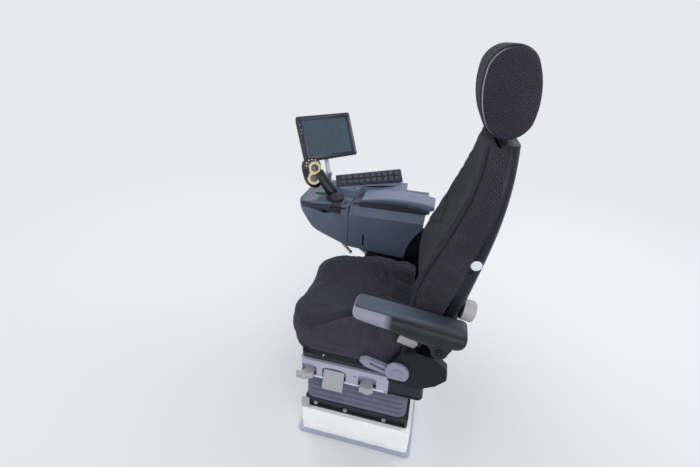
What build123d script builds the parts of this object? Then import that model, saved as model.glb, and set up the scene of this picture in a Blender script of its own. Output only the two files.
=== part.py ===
"""Operator's seat of a forage harvester, with its air-suspension base, left armrest and
seat-mounted control console with joystick, keypad and touch terminal.

The seat faces -Y, the driver's left is +X, +Z is up. The origin is on the floor, at the centre of the
four floor bolts. All lengths are millimetres.
"""
from build123d import *
from math import cos, radians, sin
import os

os.makedirs("parts", exist_ok=True)

# Clearances: pieces that lie on each other, pins and rods in their bores, and sliding rails
SEAT_GAP, PIN_GAP, RAIL_GAP = 0.3, 0.05, 0.4

# Base: floor plate, pedestal, lower frame, bellows, suspension housing
PLATE_W, PLATE_D, PLATE_T, PLATE_R = 524.0, 450.0, 10.0, 16.0
BOLT_SPACING_X, BOLT_SPACING_Y, BOLT_HOLE_R = 420.0, 340.0, 6.6
PEDESTAL_INSET, PEDESTAL_H, PEDESTAL_R, PEDESTAL_LIP, SHEET_T = 12.0, 125.0, 14.0, 60.0, 3.0
FRAME_INSET, FRAME_H, FRAME_MEMBER, FRAME_R = 14.0, 46.0, 34.0, 10.0
BELLOWS_H, BELLOWS_PLEATS, PLEAT_DEPTH, BELLOWS_WALL = 130.0, 5, 22.0, 5.0
BELLOWS_INSET, BELLOWS_CORNER_R = 14.0, 48.0
HOUSING_INSET, HOUSING_FRONT_INSET, HOUSING_REAR_OVERHANG = 22.0, 12.0, 6.0
HOUSING_H, HOUSING_WALL, HOUSING_SIDE, HOUSING_R = 78.0, 4.0, 38.0, 18.0
HOUSING_FRONT_LEN = 325.0

# Slide rails between the housing and the seat
RAIL_X, RAIL_W, RAIL_H, RAIL_T, RAIL_LIP, RAIL_END = 176.0, 46.0, 15.0, 3.0, 9.0, 7.0

# Seat pan and cushion
PAN_W, PAN_T, PAN_SKIRT, PAN_RAISE, PAN_END = 468.0, 6.0, 22.0, 22.0, 4.0
CUSHION_SIDE, CUSHION_FRONT, CUSHION_REAR, CUSHION_H = 12.0, 79.0, 55.0, 146.0
BOLSTER_W, BOLSTER_H, CUSHION_EDGE_R = 96.0, 24.0, 34.0

# Backrest: recline axis, and stations up the side profile measured from it
RECLINE_FROM_REAR, RECLINE_RAISE, RECLINE_PIN_R = 22.0, 67.0, 9.0
BACK_STATIONS = (
    # height, half width beyond the pan's, front edge, padding's rear, shell's rear, depth of the hollow
    (94.0, -12.0, -93.0, 27.0, 71.0, 14.0),
    (222.0, -4.0, -63.0, 50.0, 95.0, 26.0),
    (372.0, 0.0, -19.0, 77.0, 121.0, 30.0),
    (507.0, -10.0, 34.0, 94.0, 145.0, 26.0),
    (612.0, -40.0, 67.0, 105.0, 157.0, 16.0),
    (708.0, -96.0, 77.0, 111.0, 161.0, 6.0),
)
SHELL_T, SHELL_INSET = 5.0, 6.0
ARM_PLATE_T, ARM_PLATE_GAP, ARM_PLATE_R, ARM_PLATE_END_R = 6.0, 1.0, 28.0, 20.0
CROSS_H, CROSS_D = 16.0, 40.0
BACK_COVER_T, BACK_COVER_R = 8.0, 36.0

# Headrest
HEAD_W, HEAD_H, HEAD_D, HEAD_EDGE_R = 272.0, 244.0, 166.0, 26.0
HEAD_Y, HEAD_RAISE = 107.0, 834.0
HEAD_POST_X, HEAD_POST_R, HEAD_POST_LEN, HEAD_POST_DEPTH = 45.0, 6.0, 130.0, 30.0

# Left armrest, its pivot measured from the recline axis
ARM_PIVOT_DY, ARM_PIVOT_DZ, ARM_BOSS_R, ARM_PIN_R = 43.0, 148.0, 24.0, 8.0
ARM_GAP, ARM_W, ARM_LEN, ARM_PAD_H = 1.0, 84.0, 318.0, 40.0
ARM_REACH, ARM_RAISE, ARM_FALL = 262.0, 113.0, 0.115

# Control console on the driver's right: side position, height over the pan, and heights over its own foot
CONSOLE_GAP, CONSOLE_W, CONSOLE_T, CONSOLE_RAISE = 54.0, 296.0, 4.0, 138.0
SPLIT_Y, CONSOLE_REAR_Y, NOSE_FRONT_Y, CONSOLE_SEAM = -178.0, 150.0, -394.0, 2.0
FACET_H, BODY_H, NOSE_H = 178.0, 209.0, 215.0
FACET_W = 28.0
ROD_DX, ROD_YS, ROD_R, ROD_LEN = 142.0, (-92.0, 28.0), 9.0, 133.0
COLUMN_W, COLUMN_D, COLUMN_WALL, COLUMN_DROP, BRACKET_T = 60.0, 170.0, 4.0, 29.0, 12.0
JOYSTICK_DX, JOYSTICK_Y = 64.0, -258.0
POST_DX, POST_Y, POST_R, POST_LEN = 262.0, -350.0, 16.0, 36.0
TERMINAL_W, TERMINAL_H, TERMINAL_T = 295.0, 210.0, 36.0
SCREEN_W, SCREEN_H, SCREEN_RECESS = 240.0, 168.0, 3.0
TERMINAL_DX, TERMINAL_Y, TERMINAL_RAISE = 280.0, -360.0, 438.0
TERMINAL_YAW, TERMINAL_TILT = 42.5, 25.0

# Heights and places that follow from the stack
z_plate = PLATE_T
z_pedestal = z_plate + PEDESTAL_H
z_frame = z_pedestal + FRAME_H
z_bellows = z_frame + BELLOWS_H
z_housing = z_bellows + HOUSING_H
z_pan = z_housing + PAN_RAISE
z_cushion = z_pan + PAN_T + SEAT_GAP
housing_w = PLATE_W - 2 * HOUSING_INSET
housing_front = -PLATE_D / 2 + HOUSING_FRONT_INSET
housing_rear = PLATE_D / 2 + HOUSING_REAR_OVERHANG
housing_d, housing_y = housing_rear - housing_front, (housing_rear + housing_front) / 2
pan_front, pan_rear = housing_front + PAN_END, housing_rear - PAN_END
recline_y, recline_z = pan_rear - RECLINE_FROM_REAR, z_pan + RECLINE_RAISE
STATIONS = [
    (recline_z + dz, PAN_W / 2 + dw, recline_y + front, recline_y + pad, recline_y + shell, hollow)
    for dz, dw, front, pad, shell, hollow in BACK_STATIONS
]


def finish(part, label):
    """Label a finished piece and write it."""
    part.label = label
    export_step(part, f"parts/{label}.step")


# Floor plate with its four bolt holes
with BuildPart() as base_plate:
    with BuildSketch():
        RectangleRounded(PLATE_W, PLATE_D, PLATE_R)
        with GridLocations(BOLT_SPACING_X, BOLT_SPACING_Y, 2, 2):
            Circle(BOLT_HOLE_R, mode=Mode.SUBTRACT)
    extrude(amount=PLATE_T)
finish(base_plate.part, "base_plate")

# Pedestal: a folded sheet box, open below, with a stiffening lip round the top
pedestal_w, pedestal_d = PLATE_W - 2 * PEDESTAL_INSET, PLATE_D - 2 * PEDESTAL_INSET
with BuildPart() as pedestal:
    with BuildSketch(Plane.XY.offset(z_plate)):
        RectangleRounded(pedestal_w, pedestal_d, PEDESTAL_R)
    extrude(amount=PEDESTAL_H)
    with BuildSketch(Plane.XY.offset(z_plate)):
        RectangleRounded(pedestal_w - 2 * SHEET_T, pedestal_d - 2 * SHEET_T, PEDESTAL_R - SHEET_T)
    extrude(amount=PEDESTAL_H - SHEET_T, mode=Mode.SUBTRACT)
    with BuildSketch(Plane.XY.offset(z_pedestal)):
        RectangleRounded(pedestal_w - 2 * PEDESTAL_LIP, pedestal_d - 2 * PEDESTAL_LIP, PEDESTAL_R)
    extrude(amount=-SHEET_T, mode=Mode.SUBTRACT)
finish(pedestal.part, "pedestal")

# Lower suspension frame: a ring of channel, each side sunk to a long panel with two bolts
SUNK_END, SUNK_EDGE, SUNK_DEPTH, SUNK_R = 10.0, 7.0, 8.0, 6.0
FRAME_BOLT_R, FRAME_BOLT_H = 8.0, 5.0
FRAME_BOLTS = (45.0, 165.0)
frame_w, frame_d = pedestal_w - 2 * FRAME_INSET, pedestal_d - 2 * FRAME_INSET
frame_mid_z = z_pedestal + FRAME_H / 2
with BuildPart() as lower_frame:
    with BuildSketch(Plane.XY.offset(z_pedestal)):
        RectangleRounded(frame_w, frame_d, FRAME_R)
        RectangleRounded(frame_w - 2 * FRAME_MEMBER, frame_d - 2 * FRAME_MEMBER, FRAME_R, mode=Mode.SUBTRACT)
    extrude(amount=FRAME_H)
    for side in (-1, 1):
        with BuildSketch(Plane.YZ.offset(side * frame_w / 2)):
            with Locations((0, frame_mid_z)):
                RectangleRounded(frame_d - 2 * SUNK_END, FRAME_H - 2 * SUNK_EDGE, SUNK_R)
        extrude(amount=-side * SUNK_DEPTH, mode=Mode.SUBTRACT)
        with BuildSketch(Plane.YZ.offset(side * (frame_w / 2 - SUNK_DEPTH))):
            with Locations(*[(bolt - frame_d / 2, frame_mid_z) for bolt in FRAME_BOLTS]):
                RegularPolygon(FRAME_BOLT_R, 6)
        extrude(amount=side * FRAME_BOLT_H)
finish(lower_frame.part, "lower_frame")

# Light end blocks on the pedestal's front corners, beside the frame
BLOCK_T, BLOCK_LEN, BLOCK_EDGE = 11.0, 30.0, 2.0
with BuildPart() as frame_end_blocks:
    for side in (-1, 1):
        with BuildSketch(Plane.XY.offset(z_pedestal)):
            with Locations((side * (frame_w / 2 + SEAT_GAP + BLOCK_T / 2), BLOCK_EDGE + (BLOCK_LEN - pedestal_d) / 2)):
                Rectangle(BLOCK_T, BLOCK_LEN)
        extrude(amount=FRAME_H)
    chamfer(frame_end_blocks.edges().group_by(Axis.Z)[-1], BLOCK_EDGE)
finish(frame_end_blocks.part, "frame_end_blocks")

# Bellows: a pleated skin swept round a rounded rectangle
PLEAT_VALLEY = 0.12
bellows_w, bellows_d = frame_w - 2 * BELLOWS_INSET, frame_d - 2 * BELLOWS_INSET
pleat_h = BELLOWS_H / BELLOWS_PLEATS
outer = [(0.0, 0.0)]
for pleat in range(BELLOWS_PLEATS):
    outer += [
        (0.0, (pleat + PLEAT_VALLEY) * pleat_h), (-PLEAT_DEPTH, (pleat + 0.5) * pleat_h),
        (0.0, (pleat + 1 - PLEAT_VALLEY) * pleat_h),
    ]
outer += [(0.0, BELLOWS_H)]
with BuildPart() as bellows:
    with BuildLine() as bellows_path:
        run_x, run_y = bellows_w / 2 - BELLOWS_CORNER_R, bellows_d / 2 - BELLOWS_CORNER_R
        side = Line((bellows_w / 2, 0, z_frame), (bellows_w / 2, run_y, z_frame))
        for run in (2 * run_x, 2 * run_y, 2 * run_x, run_y):
            corner = JernArc(side @ 1, side % 1, BELLOWS_CORNER_R, 90)
            side = Line(corner @ 1, corner @ 1 + (corner % 1) * run)
    with BuildSketch(Plane.XZ):
        with BuildLine():
            Polyline(
                *[(bellows_w / 2 + u, z_frame + v) for u, v in outer],
                *[(bellows_w / 2 + u - BELLOWS_WALL, z_frame + v) for u, v in reversed(outer)],
                close=True,
            )
        make_face()
    sweep(path=bellows_path.wires()[0])
finish(bellows.part, "bellows")

# Suspension housing in two mouldings, hollow from below, with a ridge along the lower edge and a finger
# recess for each handle on the left side
RIDGE_T, RIDGE_H = 3.0, 5.0
RECESS_DEPTH, RECESS_H, RECESS_ARCH = 20.0, 46.0, 12.0
KEYHOLE_Y, KEYHOLE_H, KEYHOLE_R, KEYHOLE_DEPTH = 205.0, 44.0, 4.0, 6.0
HANDLES = (
    # distance of its middle from the housing's front, recess width
    (34.0, 56.0),
    (128.0, 88.0),
    (250.0, 66.0),
)
split_y = housing_front + HOUSING_FRONT_LEN
for label, y0, y1 in (
    ("suspension_housing", housing_front - RIDGE_T, split_y),
    ("housing_rear", split_y + SEAT_GAP, housing_rear + RIDGE_T),
):
    with BuildPart() as housing:
        with BuildSketch(Plane.XY.offset(z_bellows)):
            with Locations((0, housing_y)):
                RectangleRounded(housing_w, housing_d, HOUSING_R)
        extrude(amount=HOUSING_H)
        with BuildSketch(Plane.XY.offset(z_bellows)):
            with Locations((0, housing_y)):
                RectangleRounded(housing_w + 2 * RIDGE_T, housing_d + 2 * RIDGE_T, HOUSING_R + RIDGE_T)
        extrude(amount=RIDGE_H)
        with BuildSketch(Plane.XY.offset(z_bellows)):
            with Locations((0, housing_y)):
                RectangleRounded(housing_w - 2 * HOUSING_SIDE, housing_d - 2 * HOUSING_SIDE, HOUSING_R)
        extrude(amount=HOUSING_H - HOUSING_WALL, mode=Mode.SUBTRACT)
        with BuildSketch(Plane.XY.offset(z_bellows)):
            with Locations((0, (y0 + y1) / 2)):
                Rectangle(housing_w + 4 * RIDGE_T, y1 - y0)
        extrude(amount=HOUSING_H, mode=Mode.INTERSECT)
        if label == "suspension_housing":
            with BuildSketch(Plane.YZ.offset(housing_w / 2 + RIDGE_T)):
                for handle_y, recess_w in HANDLES:
                    with Locations((housing_front + handle_y, z_bellows + RECESS_H / 2)):
                        Rectangle(recess_w, RECESS_H)
                    with Locations((housing_front + handle_y, z_bellows + RECESS_H)):
                        Ellipse(recess_w / 2, RECESS_ARCH)
            extrude(amount=-RECESS_DEPTH - RIDGE_T, mode=Mode.SUBTRACT)
            with BuildSketch(Plane.YZ.offset(housing_w / 2)):
                with Locations((housing_front + KEYHOLE_Y, z_bellows + KEYHOLE_H)):
                    Circle(KEYHOLE_R)
            extrude(amount=-KEYHOLE_DEPTH, mode=Mode.SUBTRACT)
    finish(housing.part, label)

# Finger levers in the front and rear recesses, and the flap between them
LEVER_H, LEVER_FOOT, LEVER_EDGE_R = 22.0, 2.0, 5.0
recess_x = housing_w / 2 - RECESS_DEPTH + SEAT_GAP
for label, handle_y, points in (
    # points: reach beyond the housing's side, distance from the recess's middle
    ("handle_front", HANDLES[0][0], ((12.0, 18.0), (26.0, -8.0), (24.0, -42.0), (8.0, -50.0), (5.0, -22.0))),
    ("handle_rear", HANDLES[2][0], ((16.0, 26.0), (30.0, 10.0), (24.0, -24.0), (10.0, -26.0))),
):
    lever_y = housing_front + handle_y
    with BuildPart() as lever:
        with BuildSketch(Plane.XY.offset(z_bellows + LEVER_FOOT)):
            with BuildLine():
                Polyline(
                    (recess_x, lever_y - 12), (recess_x, lever_y + 16),
                    *[(housing_w / 2 + reach, lever_y + along) for reach, along in points], close=True,
                )
            make_face()
        extrude(amount=LEVER_H)
        fillet(lever.edges().filter_by(Axis.Z).group_by(Axis.X)[-1], LEVER_EDGE_R)
        outer_edges = lever.edges().group_by(Axis.Z)[-1].filter_by(lambda e: e.center().X > housing_w / 2 + 4)
        chamfer(outer_edges, LEVER_EDGE_R)
    finish(lever.part, label)

FLAP_EDGE, FLAP_DROP, FLAP_CORNER_R = 6.0, 28.0, 8.0
flap_y, flap_w = housing_front + HANDLES[1][0], HANDLES[1][1] - 2 * FLAP_EDGE
with BuildPart() as handle_flap:
    with BuildSketch(Plane.XZ.offset(-(flap_y - flap_w / 2))):
        with BuildLine():
            Polyline(
                (recess_x, z_bellows + 30), (recess_x + 14, z_bellows + 42), (housing_w / 2 + 8, z_bellows + 26),
                (housing_w / 2 + 24, z_bellows - FLAP_DROP + 2), (housing_w / 2 + 18, z_bellows - FLAP_DROP),
                (housing_w / 2, z_bellows + 20), close=True,
            )
        make_face()
    extrude(amount=-flap_w)
    flap_corners = handle_flap.edges().group_by(Axis.Z)[:2]
    fillet(
        [e for group in flap_corners for e in group if abs(e.center().Y - flap_y) > flap_w / 2 - 1],
        FLAP_EDGE / 3,
    )
finish(handle_flap.part, "handle_flap")

# Lower slide rails: lipped channels on the housing
rail_len = housing_d - 2 * RAIL_END
rail_front = housing_front + RAIL_END
with BuildPart() as lower_rails:
    for side in (-1, 1):
        with BuildSketch(Plane.XZ.offset(-rail_front)):
            with Locations((side * RAIL_X, z_housing + RAIL_H / 2)):
                Rectangle(RAIL_W, RAIL_H)
                Rectangle(RAIL_W - 2 * RAIL_T, RAIL_H - 2 * RAIL_T, mode=Mode.SUBTRACT)
            with Locations((side * RAIL_X, z_housing + RAIL_H - RAIL_T / 2)):
                Rectangle(RAIL_W - 2 * RAIL_T - 2 * RAIL_LIP, RAIL_T, mode=Mode.SUBTRACT)
        extrude(amount=-rail_len)
finish(lower_rails.part, "lower_rails")

# Upper slide rails: runners held by the lips, with a web up to the pan
WEB_GAP = 2.0
runner_w = RAIL_W - 2 * RAIL_T - 2 * RAIL_GAP
runner_h = RAIL_H - 2 * RAIL_T - 2 * RAIL_GAP
web_w = RAIL_W - 2 * RAIL_T - 2 * RAIL_LIP - 2 * WEB_GAP
runner_z = z_housing + RAIL_T + RAIL_GAP
with BuildPart() as upper_rails:
    for side in (-1, 1):
        with BuildSketch(Plane.XZ.offset(-rail_front)):
            with Locations((side * RAIL_X, runner_z + runner_h / 2)):
                Rectangle(runner_w, runner_h)
            with Locations((side * RAIL_X, (runner_z + z_pan) / 2)):
                Rectangle(web_w, z_pan - runner_z)
        extrude(amount=-rail_len)
finish(upper_rails.part, "upper_rails")

# Seat pan: a pressed tray upside down, with ears at the rear that carry the recline pins and one bolt
# head on each skirt
EAR_T, EAR_R, EAR_FRONT, EAR_REAR = 7.0, 30.0, 52.0, 36.0
PAN_R, SKIRT_T = 16.0, 4.0
PAN_BOLT_Y, PAN_BOLT_R, PAN_BOLT_H = 90.0, 6.0, 3.0
with BuildPart() as seat_pan:
    with BuildSketch(Plane.XY.offset(z_pan + PAN_T)):
        with Locations((0, housing_y)):
            RectangleRounded(PAN_W, pan_rear - pan_front, PAN_R)
    extrude(amount=-PAN_SKIRT)
    with BuildSketch(Plane.XY.offset(z_pan)):
        with Locations((0, housing_y)):
            Rectangle(PAN_W - 2 * SKIRT_T, pan_rear - pan_front)
    extrude(amount=-PAN_SKIRT, mode=Mode.SUBTRACT)
    for side in (-1, 1):
        with BuildSketch(Plane.YZ.offset(side * PAN_W / 2)):
            with BuildLine():
                Polyline(
                    (recline_y - EAR_FRONT, z_pan), (recline_y + EAR_REAR, z_pan), (recline_y + EAR_R, recline_z),
                    (recline_y - EAR_R, recline_z), close=True,
                )
            make_face()
            with Locations((recline_y, recline_z)):
                Circle(EAR_R)
                Circle(RECLINE_PIN_R + PIN_GAP, mode=Mode.SUBTRACT)
        extrude(amount=-side * EAR_T)
        with BuildSketch(Plane.YZ.offset(side * PAN_W / 2)):
            with Locations((housing_front + PAN_BOLT_Y, z_pan + PAN_T - PAN_SKIRT / 2)):
                Circle(PAN_BOLT_R)
        extrude(amount=side * PAN_BOLT_H, taper=30)
finish(seat_pan.part, "seat_pan")

# Seat cushion: rounded in plan, raised side bolsters, undercut front
FRONT_CORNER, CORNER_SIDE, CORNER_FRONT, FRONT_BOW = 150.0, 48.0, 44.0, 6.0
UNDERCUT, UNDERCUT_H, REAR_FALL, REAR_FALL_LEN = 109.0, 34.0, 22.0, 190.0
cushion_half = PAN_W / 2 + CUSHION_SIDE
cushion_front, cushion_rear = housing_front - CUSHION_FRONT, recline_y - CUSHION_REAR
cushion_top = z_cushion + CUSHION_H
with BuildPart() as seat_cushion:
    with BuildSketch(Plane.XY.offset(z_cushion)):
        with BuildLine():
            shoulder_y = cushion_front + FRONT_CORNER
            corner_x, corner_y = cushion_half - CORNER_SIDE, cushion_front + CORNER_FRONT
            left_front = (cushion_half - FRONT_CORNER, cushion_front + FRONT_BOW)
            right_front = (-cushion_half + FRONT_CORNER, cushion_front + FRONT_BOW)
            Line((cushion_half, cushion_rear), (cushion_half, shoulder_y))
            ThreePointArc((cushion_half, shoulder_y), (corner_x, corner_y), left_front)
            ThreePointArc(left_front, (0, cushion_front), right_front)
            ThreePointArc(right_front, (-corner_x, corner_y), (-cushion_half, shoulder_y))
            Polyline((-cushion_half, shoulder_y), (-cushion_half, cushion_rear), (cushion_half, cushion_rear))
        make_face()
    extrude(amount=CUSHION_H)
    fillet(seat_cushion.edges().group_by(Axis.Z)[-1], CUSHION_EDGE_R)
    with BuildSketch(Plane.XZ.offset(-cushion_rear)):
        with BuildLine():
            half = cushion_half - BOLSTER_W
            ThreePointArc((-half, cushion_top), (0, cushion_top - BOLSTER_H), (half, cushion_top))
            Line((half, cushion_top), (-half, cushion_top))
        make_face()
    extrude(amount=cushion_rear - cushion_front, mode=Mode.SUBTRACT)
    with BuildSketch(Plane.YZ.offset(-cushion_half)):
        with BuildLine():
            Polyline(
                (cushion_front - 1, z_cushion), (cushion_front + UNDERCUT, z_cushion),
                (cushion_front - 1, z_cushion + UNDERCUT_H), close=True,
            )
        make_face()
        with BuildLine():
            Polyline(
                (cushion_rear, cushion_top), (cushion_rear - REAR_FALL_LEN, cushion_top),
                (cushion_rear, cushion_top - REAR_FALL), close=True,
            )
        make_face()
    extrude(amount=2 * cushion_half, mode=Mode.SUBTRACT)
finish(seat_cushion.part, "seat_cushion")

# Two light pull handles under the cushion's front edge, each on two arms from the pan's front edge
PULL_XS, PULL_W, PULL_D, PULL_R, PULL_ARM_X, PULL_ARM_W = (-140.0, 28.0), 150.0, 22.0, 8.0, 52.0, 14.0
PULL_EDGE = 5.0
with BuildPart() as cushion_handles:
    for pull_x in PULL_XS:
        with BuildSketch(Plane.XY.offset(z_pan)):
            with Locations((pull_x, cushion_front - PULL_EDGE + PULL_D / 2)):
                RectangleRounded(PULL_W, PULL_D, PULL_R)
            for arm_x in (pull_x - PULL_ARM_X, pull_x + PULL_ARM_X):
                with Locations((arm_x, (pan_front + cushion_front) / 2)):
                    Rectangle(PULL_ARM_W, pan_front - cushion_front)
        extrude(amount=PAN_T)
finish(cushion_handles.part, "cushion_handles")

# Side covers over the recliners, hollow behind, pegged to the pan's ears
COVER_T, COVER_WALL, COVER_GAP, COVER_R = 32.0, 3.0, 21.0, 16.0
COVER_PEG_R, COVER_PEGS, COVER_PEG_H = 5.0, (-36.0, 14.0), 16.0
COVER_OUTLINE = (
    # y, z from the recline axis, from the front foot round over the top
    (-97.0, -58.0), (-93.0, 22.0), (-64.0, 78.0), (-20.0, 94.0), (40.0, 84.0), (82.0, 46.0), (86.0, 6.0),
    (56.0, -30.0), (10.0, -58.0),
)
cover_points = [(recline_y + dy, recline_z + dz) for dy, dz in COVER_OUTLINE]
cover_x = PAN_W / 2 + COVER_GAP
for side, label in ((1, "side_cover_left"), (-1, "side_cover_right")):
    with BuildPart() as side_cover:
        with BuildSketch(Plane.YZ.offset(side * cover_x)):
            with BuildLine():
                FilletPolyline(*cover_points, close=True, radius=COVER_R)
            make_face()
        extrude(amount=side * COVER_T)
        outer_rim = side_cover.edges().group_by(Axis.X)[-1 if side > 0 else 0]
        chamfer(outer_rim, COVER_WALL - 1)
        with BuildSketch(Plane.YZ.offset(side * cover_x)):
            with BuildLine():
                FilletPolyline(*cover_points, close=True, radius=COVER_R)
            make_face()
            offset(amount=-COVER_WALL, mode=Mode.REPLACE)
        extrude(amount=side * (COVER_T - COVER_WALL), mode=Mode.SUBTRACT)
        with BuildSketch(Plane.YZ.offset(side * PAN_W / 2)):
            with Locations(*[(recline_y + peg, z_pan + COVER_PEG_H) for peg in COVER_PEGS]):
                Circle(COVER_PEG_R)
        extrude(amount=side * (COVER_GAP + COVER_T - COVER_WALL))
    finish(side_cover.part, label)

# Round hinge cover with a flat foot and a raised horseshoe
DISC_DY, DISC_DZ, DISC_R, DISC_T, DISC_FOOT, DISC_EDGE_R = -68.0, 2.0, 38.0, 12.0, 28.0, 4.0
SHOE_IN_R, SHOE_OUT_R, SHOE_LEG, SHOE_H = 13.0, 18.0, 22.0, 2.5
disc_x, disc_y, disc_z = cover_x + COVER_T, recline_y + DISC_DY, recline_z + DISC_DZ
with BuildPart() as hinge_cover:
    with BuildSketch(Plane.YZ.offset(disc_x)):
        with Locations((disc_y, disc_z)):
            Circle(DISC_R)
        with Locations((disc_y, disc_z - DISC_FOOT - DISC_R / 2)):
            Rectangle(2 * DISC_R, DISC_R, mode=Mode.SUBTRACT)
    extrude(amount=DISC_T)
    fillet(hinge_cover.edges().group_by(Axis.X)[-1], DISC_EDGE_R)
    with BuildSketch(Plane.YZ.offset(disc_x + DISC_T)):
        with BuildLine():
            a = ThreePointArc(
                (disc_y - SHOE_OUT_R, disc_z), (disc_y, disc_z + SHOE_OUT_R), (disc_y + SHOE_OUT_R, disc_z)
            )
            Polyline(
                a @ 1, (disc_y + SHOE_OUT_R, disc_z - SHOE_LEG), (disc_y + SHOE_IN_R, disc_z - SHOE_LEG),
                (disc_y + SHOE_IN_R, disc_z),
            )
            b = ThreePointArc(
                (disc_y + SHOE_IN_R, disc_z), (disc_y, disc_z + SHOE_IN_R), (disc_y - SHOE_IN_R, disc_z)
            )
            Polyline(b @ 1, (disc_y - SHOE_IN_R, disc_z - SHOE_LEG), (disc_y - SHOE_OUT_R, disc_z - SHOE_LEG), a @ 0)
        make_face()
    extrude(amount=SHOE_H)
finish(hinge_cover.part, "hinge_cover")


def cover_front(z):
    """The y just in front of the side cover's sloping front edge at z."""
    (y0, z0), (y1, z1) = cover_points[:2]
    return y0 + (z - z0) * (y1 - y0) / (z1 - z0) - SEAT_GAP


# Recline lever in front of the side cover, with a slot through it
LEVER_TIP, LEVER_T, LEVER_INSET, LEVER_R = 193.0, 16.0, 2.0, 5.0
LEVER_LOW, LEVER_HIGH = 28.0, 4.0
lever_z, tip_y = recline_z, recline_y - LEVER_TIP
with BuildPart() as recline_lever:
    with BuildSketch(Plane.YZ.offset(cover_x + COVER_T - LEVER_T - LEVER_INSET)):
        with BuildLine():
            FilletPolyline(
                (cover_front(lever_z - LEVER_LOW), lever_z - LEVER_LOW),
                (cover_front(lever_z + LEVER_HIGH), lever_z + LEVER_HIGH), (tip_y + 24, lever_z + 24),
                (tip_y - 4, lever_z + 14), (tip_y + 20, lever_z - 10), close=True, radius=LEVER_R,
            )
        make_face()
        slot_rear = cover_front(lever_z) - 14
        with BuildLine():
            Polyline(
                (slot_rear, lever_z - 14), (slot_rear, lever_z - 3), (tip_y + 34, lever_z + 14),
                (tip_y + 34, lever_z + 4), close=True,
            )
        make_face(mode=Mode.SUBTRACT)
    extrude(amount=LEVER_T)
finish(recline_lever.part, "recline_lever")


def back_outline(z, half_w, front_y, rear_y, hollow):
    """One station of the padding: flat behind, round side bolsters and a hollow front."""
    bolster = 0.36 * half_w
    side_y = front_y + 0.42 * (rear_y - front_y)
    with BuildSketch(Plane.XY.offset(z)) as station:
        with BuildLine():
            Polyline((-half_w, side_y), (-half_w, rear_y), (half_w, rear_y), (half_w, side_y))
            ThreePointArc(
                (half_w, side_y), (half_w - 0.24 * bolster, front_y + 0.26 * (side_y - front_y)),
                (half_w - 0.7 * bolster, front_y),
            )
            ThreePointArc(
                (half_w - 0.7 * bolster, front_y), (0, front_y + hollow), (-half_w + 0.7 * bolster, front_y)
            )
            ThreePointArc(
                (-half_w + 0.7 * bolster, front_y),
                (-half_w + 0.24 * bolster, front_y + 0.26 * (side_y - front_y)), (-half_w, side_y),
            )
        make_face()
    return station.sketch


def shell_outline(z, half_w, front_y, rear_y):
    """One station of the shell: open to the padding, rounded behind."""
    corner = 0.55 * (rear_y - front_y)
    with BuildSketch(Plane.XY.offset(z)) as station:
        with BuildLine():
            Polyline((-half_w, rear_y - corner), (-half_w, front_y), (half_w, front_y), (half_w, rear_y - corner))
            ThreePointArc(
                (half_w, rear_y - corner), (half_w - 0.3 * corner, rear_y - 0.3 * corner),
                (half_w - corner, rear_y),
            )
            Line((half_w - corner, rear_y), (-half_w + corner, rear_y))
            ThreePointArc(
                (-half_w + corner, rear_y), (-half_w + 0.3 * corner, rear_y - 0.3 * corner),
                (-half_w, rear_y - corner),
            )
        make_face()
    return station.sketch


CHANNEL_DEPTH, CHANNEL_W = 3.0, 13.0


def channel_outline(z, x, y):
    """One station of the long channel sunk into the shell's side."""
    with BuildSketch(Plane.XY.offset(z)) as station:
        with Locations((x, y)):
            Rectangle(2 * CHANNEL_DEPTH, CHANNEL_W)
    return station.sketch


# Backrest padding, lofted through the stations
with BuildPart() as back_cushion:
    loft(sections=[
        back_outline(z, half_w, front_y, pad_y, hollow)
        for z, half_w, front_y, pad_y, shell_y, hollow in STATIONS
    ])
finish(back_cushion.part, "back_cushion")

# Backrest shell behind it, open to the padding and closed below and above, bored for the headrest's
# posts and the knob's shaft, with a long channel down each side
KNOB_X, KNOB_R, KNOB_T, KNOB_EDGE_R = 42.0, 33.0, 38.0, 9.0
KNOB_SHAFT_R, KNOB_SHAFT_LEN, KNOB_STAND_OFF = 8.0, 16.0, 1.5
SHELL_LAP = 4.0
shell_rise = STATIONS[2][0] - STATIONS[1][0]
shell_lean = STATIONS[2][4] - STATIONS[1][4]
knob_plane = Plane(
    origin=(PAN_W / 2 - KNOB_X, STATIONS[1][4] + KNOB_STAND_OFF, STATIONS[1][0]), z_dir=(0, shell_rise, -shell_lean)
)
head_post_y = (STATIONS[-1][3] + STATIONS[-1][4]) / 2
with BuildPart() as back_shell:
    loft(sections=[
        shell_outline(z, half_w - SHELL_INSET, pad_y + SEAT_GAP, shell_y)
        for z, half_w, front_y, pad_y, shell_y, hollow in STATIONS
    ])
    loft(sections=[
        shell_outline(
            max(z, STATIONS[0][0] + SHELL_T), half_w - SHELL_INSET - SHELL_T, pad_y - SHELL_LAP, shell_y - SHELL_T
        )
        for z, half_w, front_y, pad_y, shell_y, hollow in STATIONS[:-1]
    ], mode=Mode.SUBTRACT)
    with BuildSketch(Plane.XY.offset(STATIONS[-1][0])):
        with Locations((-HEAD_POST_X, head_post_y), (HEAD_POST_X, head_post_y)):
            Circle(HEAD_POST_R + PIN_GAP)
    extrude(amount=STATIONS[-2][0] - STATIONS[-1][0] - 2 * SHELL_T, mode=Mode.SUBTRACT)
    with BuildSketch(knob_plane):
        Circle(KNOB_SHAFT_R + PIN_GAP)
    extrude(amount=-KNOB_SHAFT_LEN, mode=Mode.SUBTRACT)
    for side in (-1, 1):
        loft(sections=[
            channel_outline(z, side * (half_w - SHELL_INSET), pad_y + 0.28 * (shell_y - pad_y))
            for z, half_w, front_y, pad_y, shell_y, hollow in STATIONS[2:]
        ], mode=Mode.SUBTRACT)
finish(back_shell.part, "back_shell")

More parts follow.
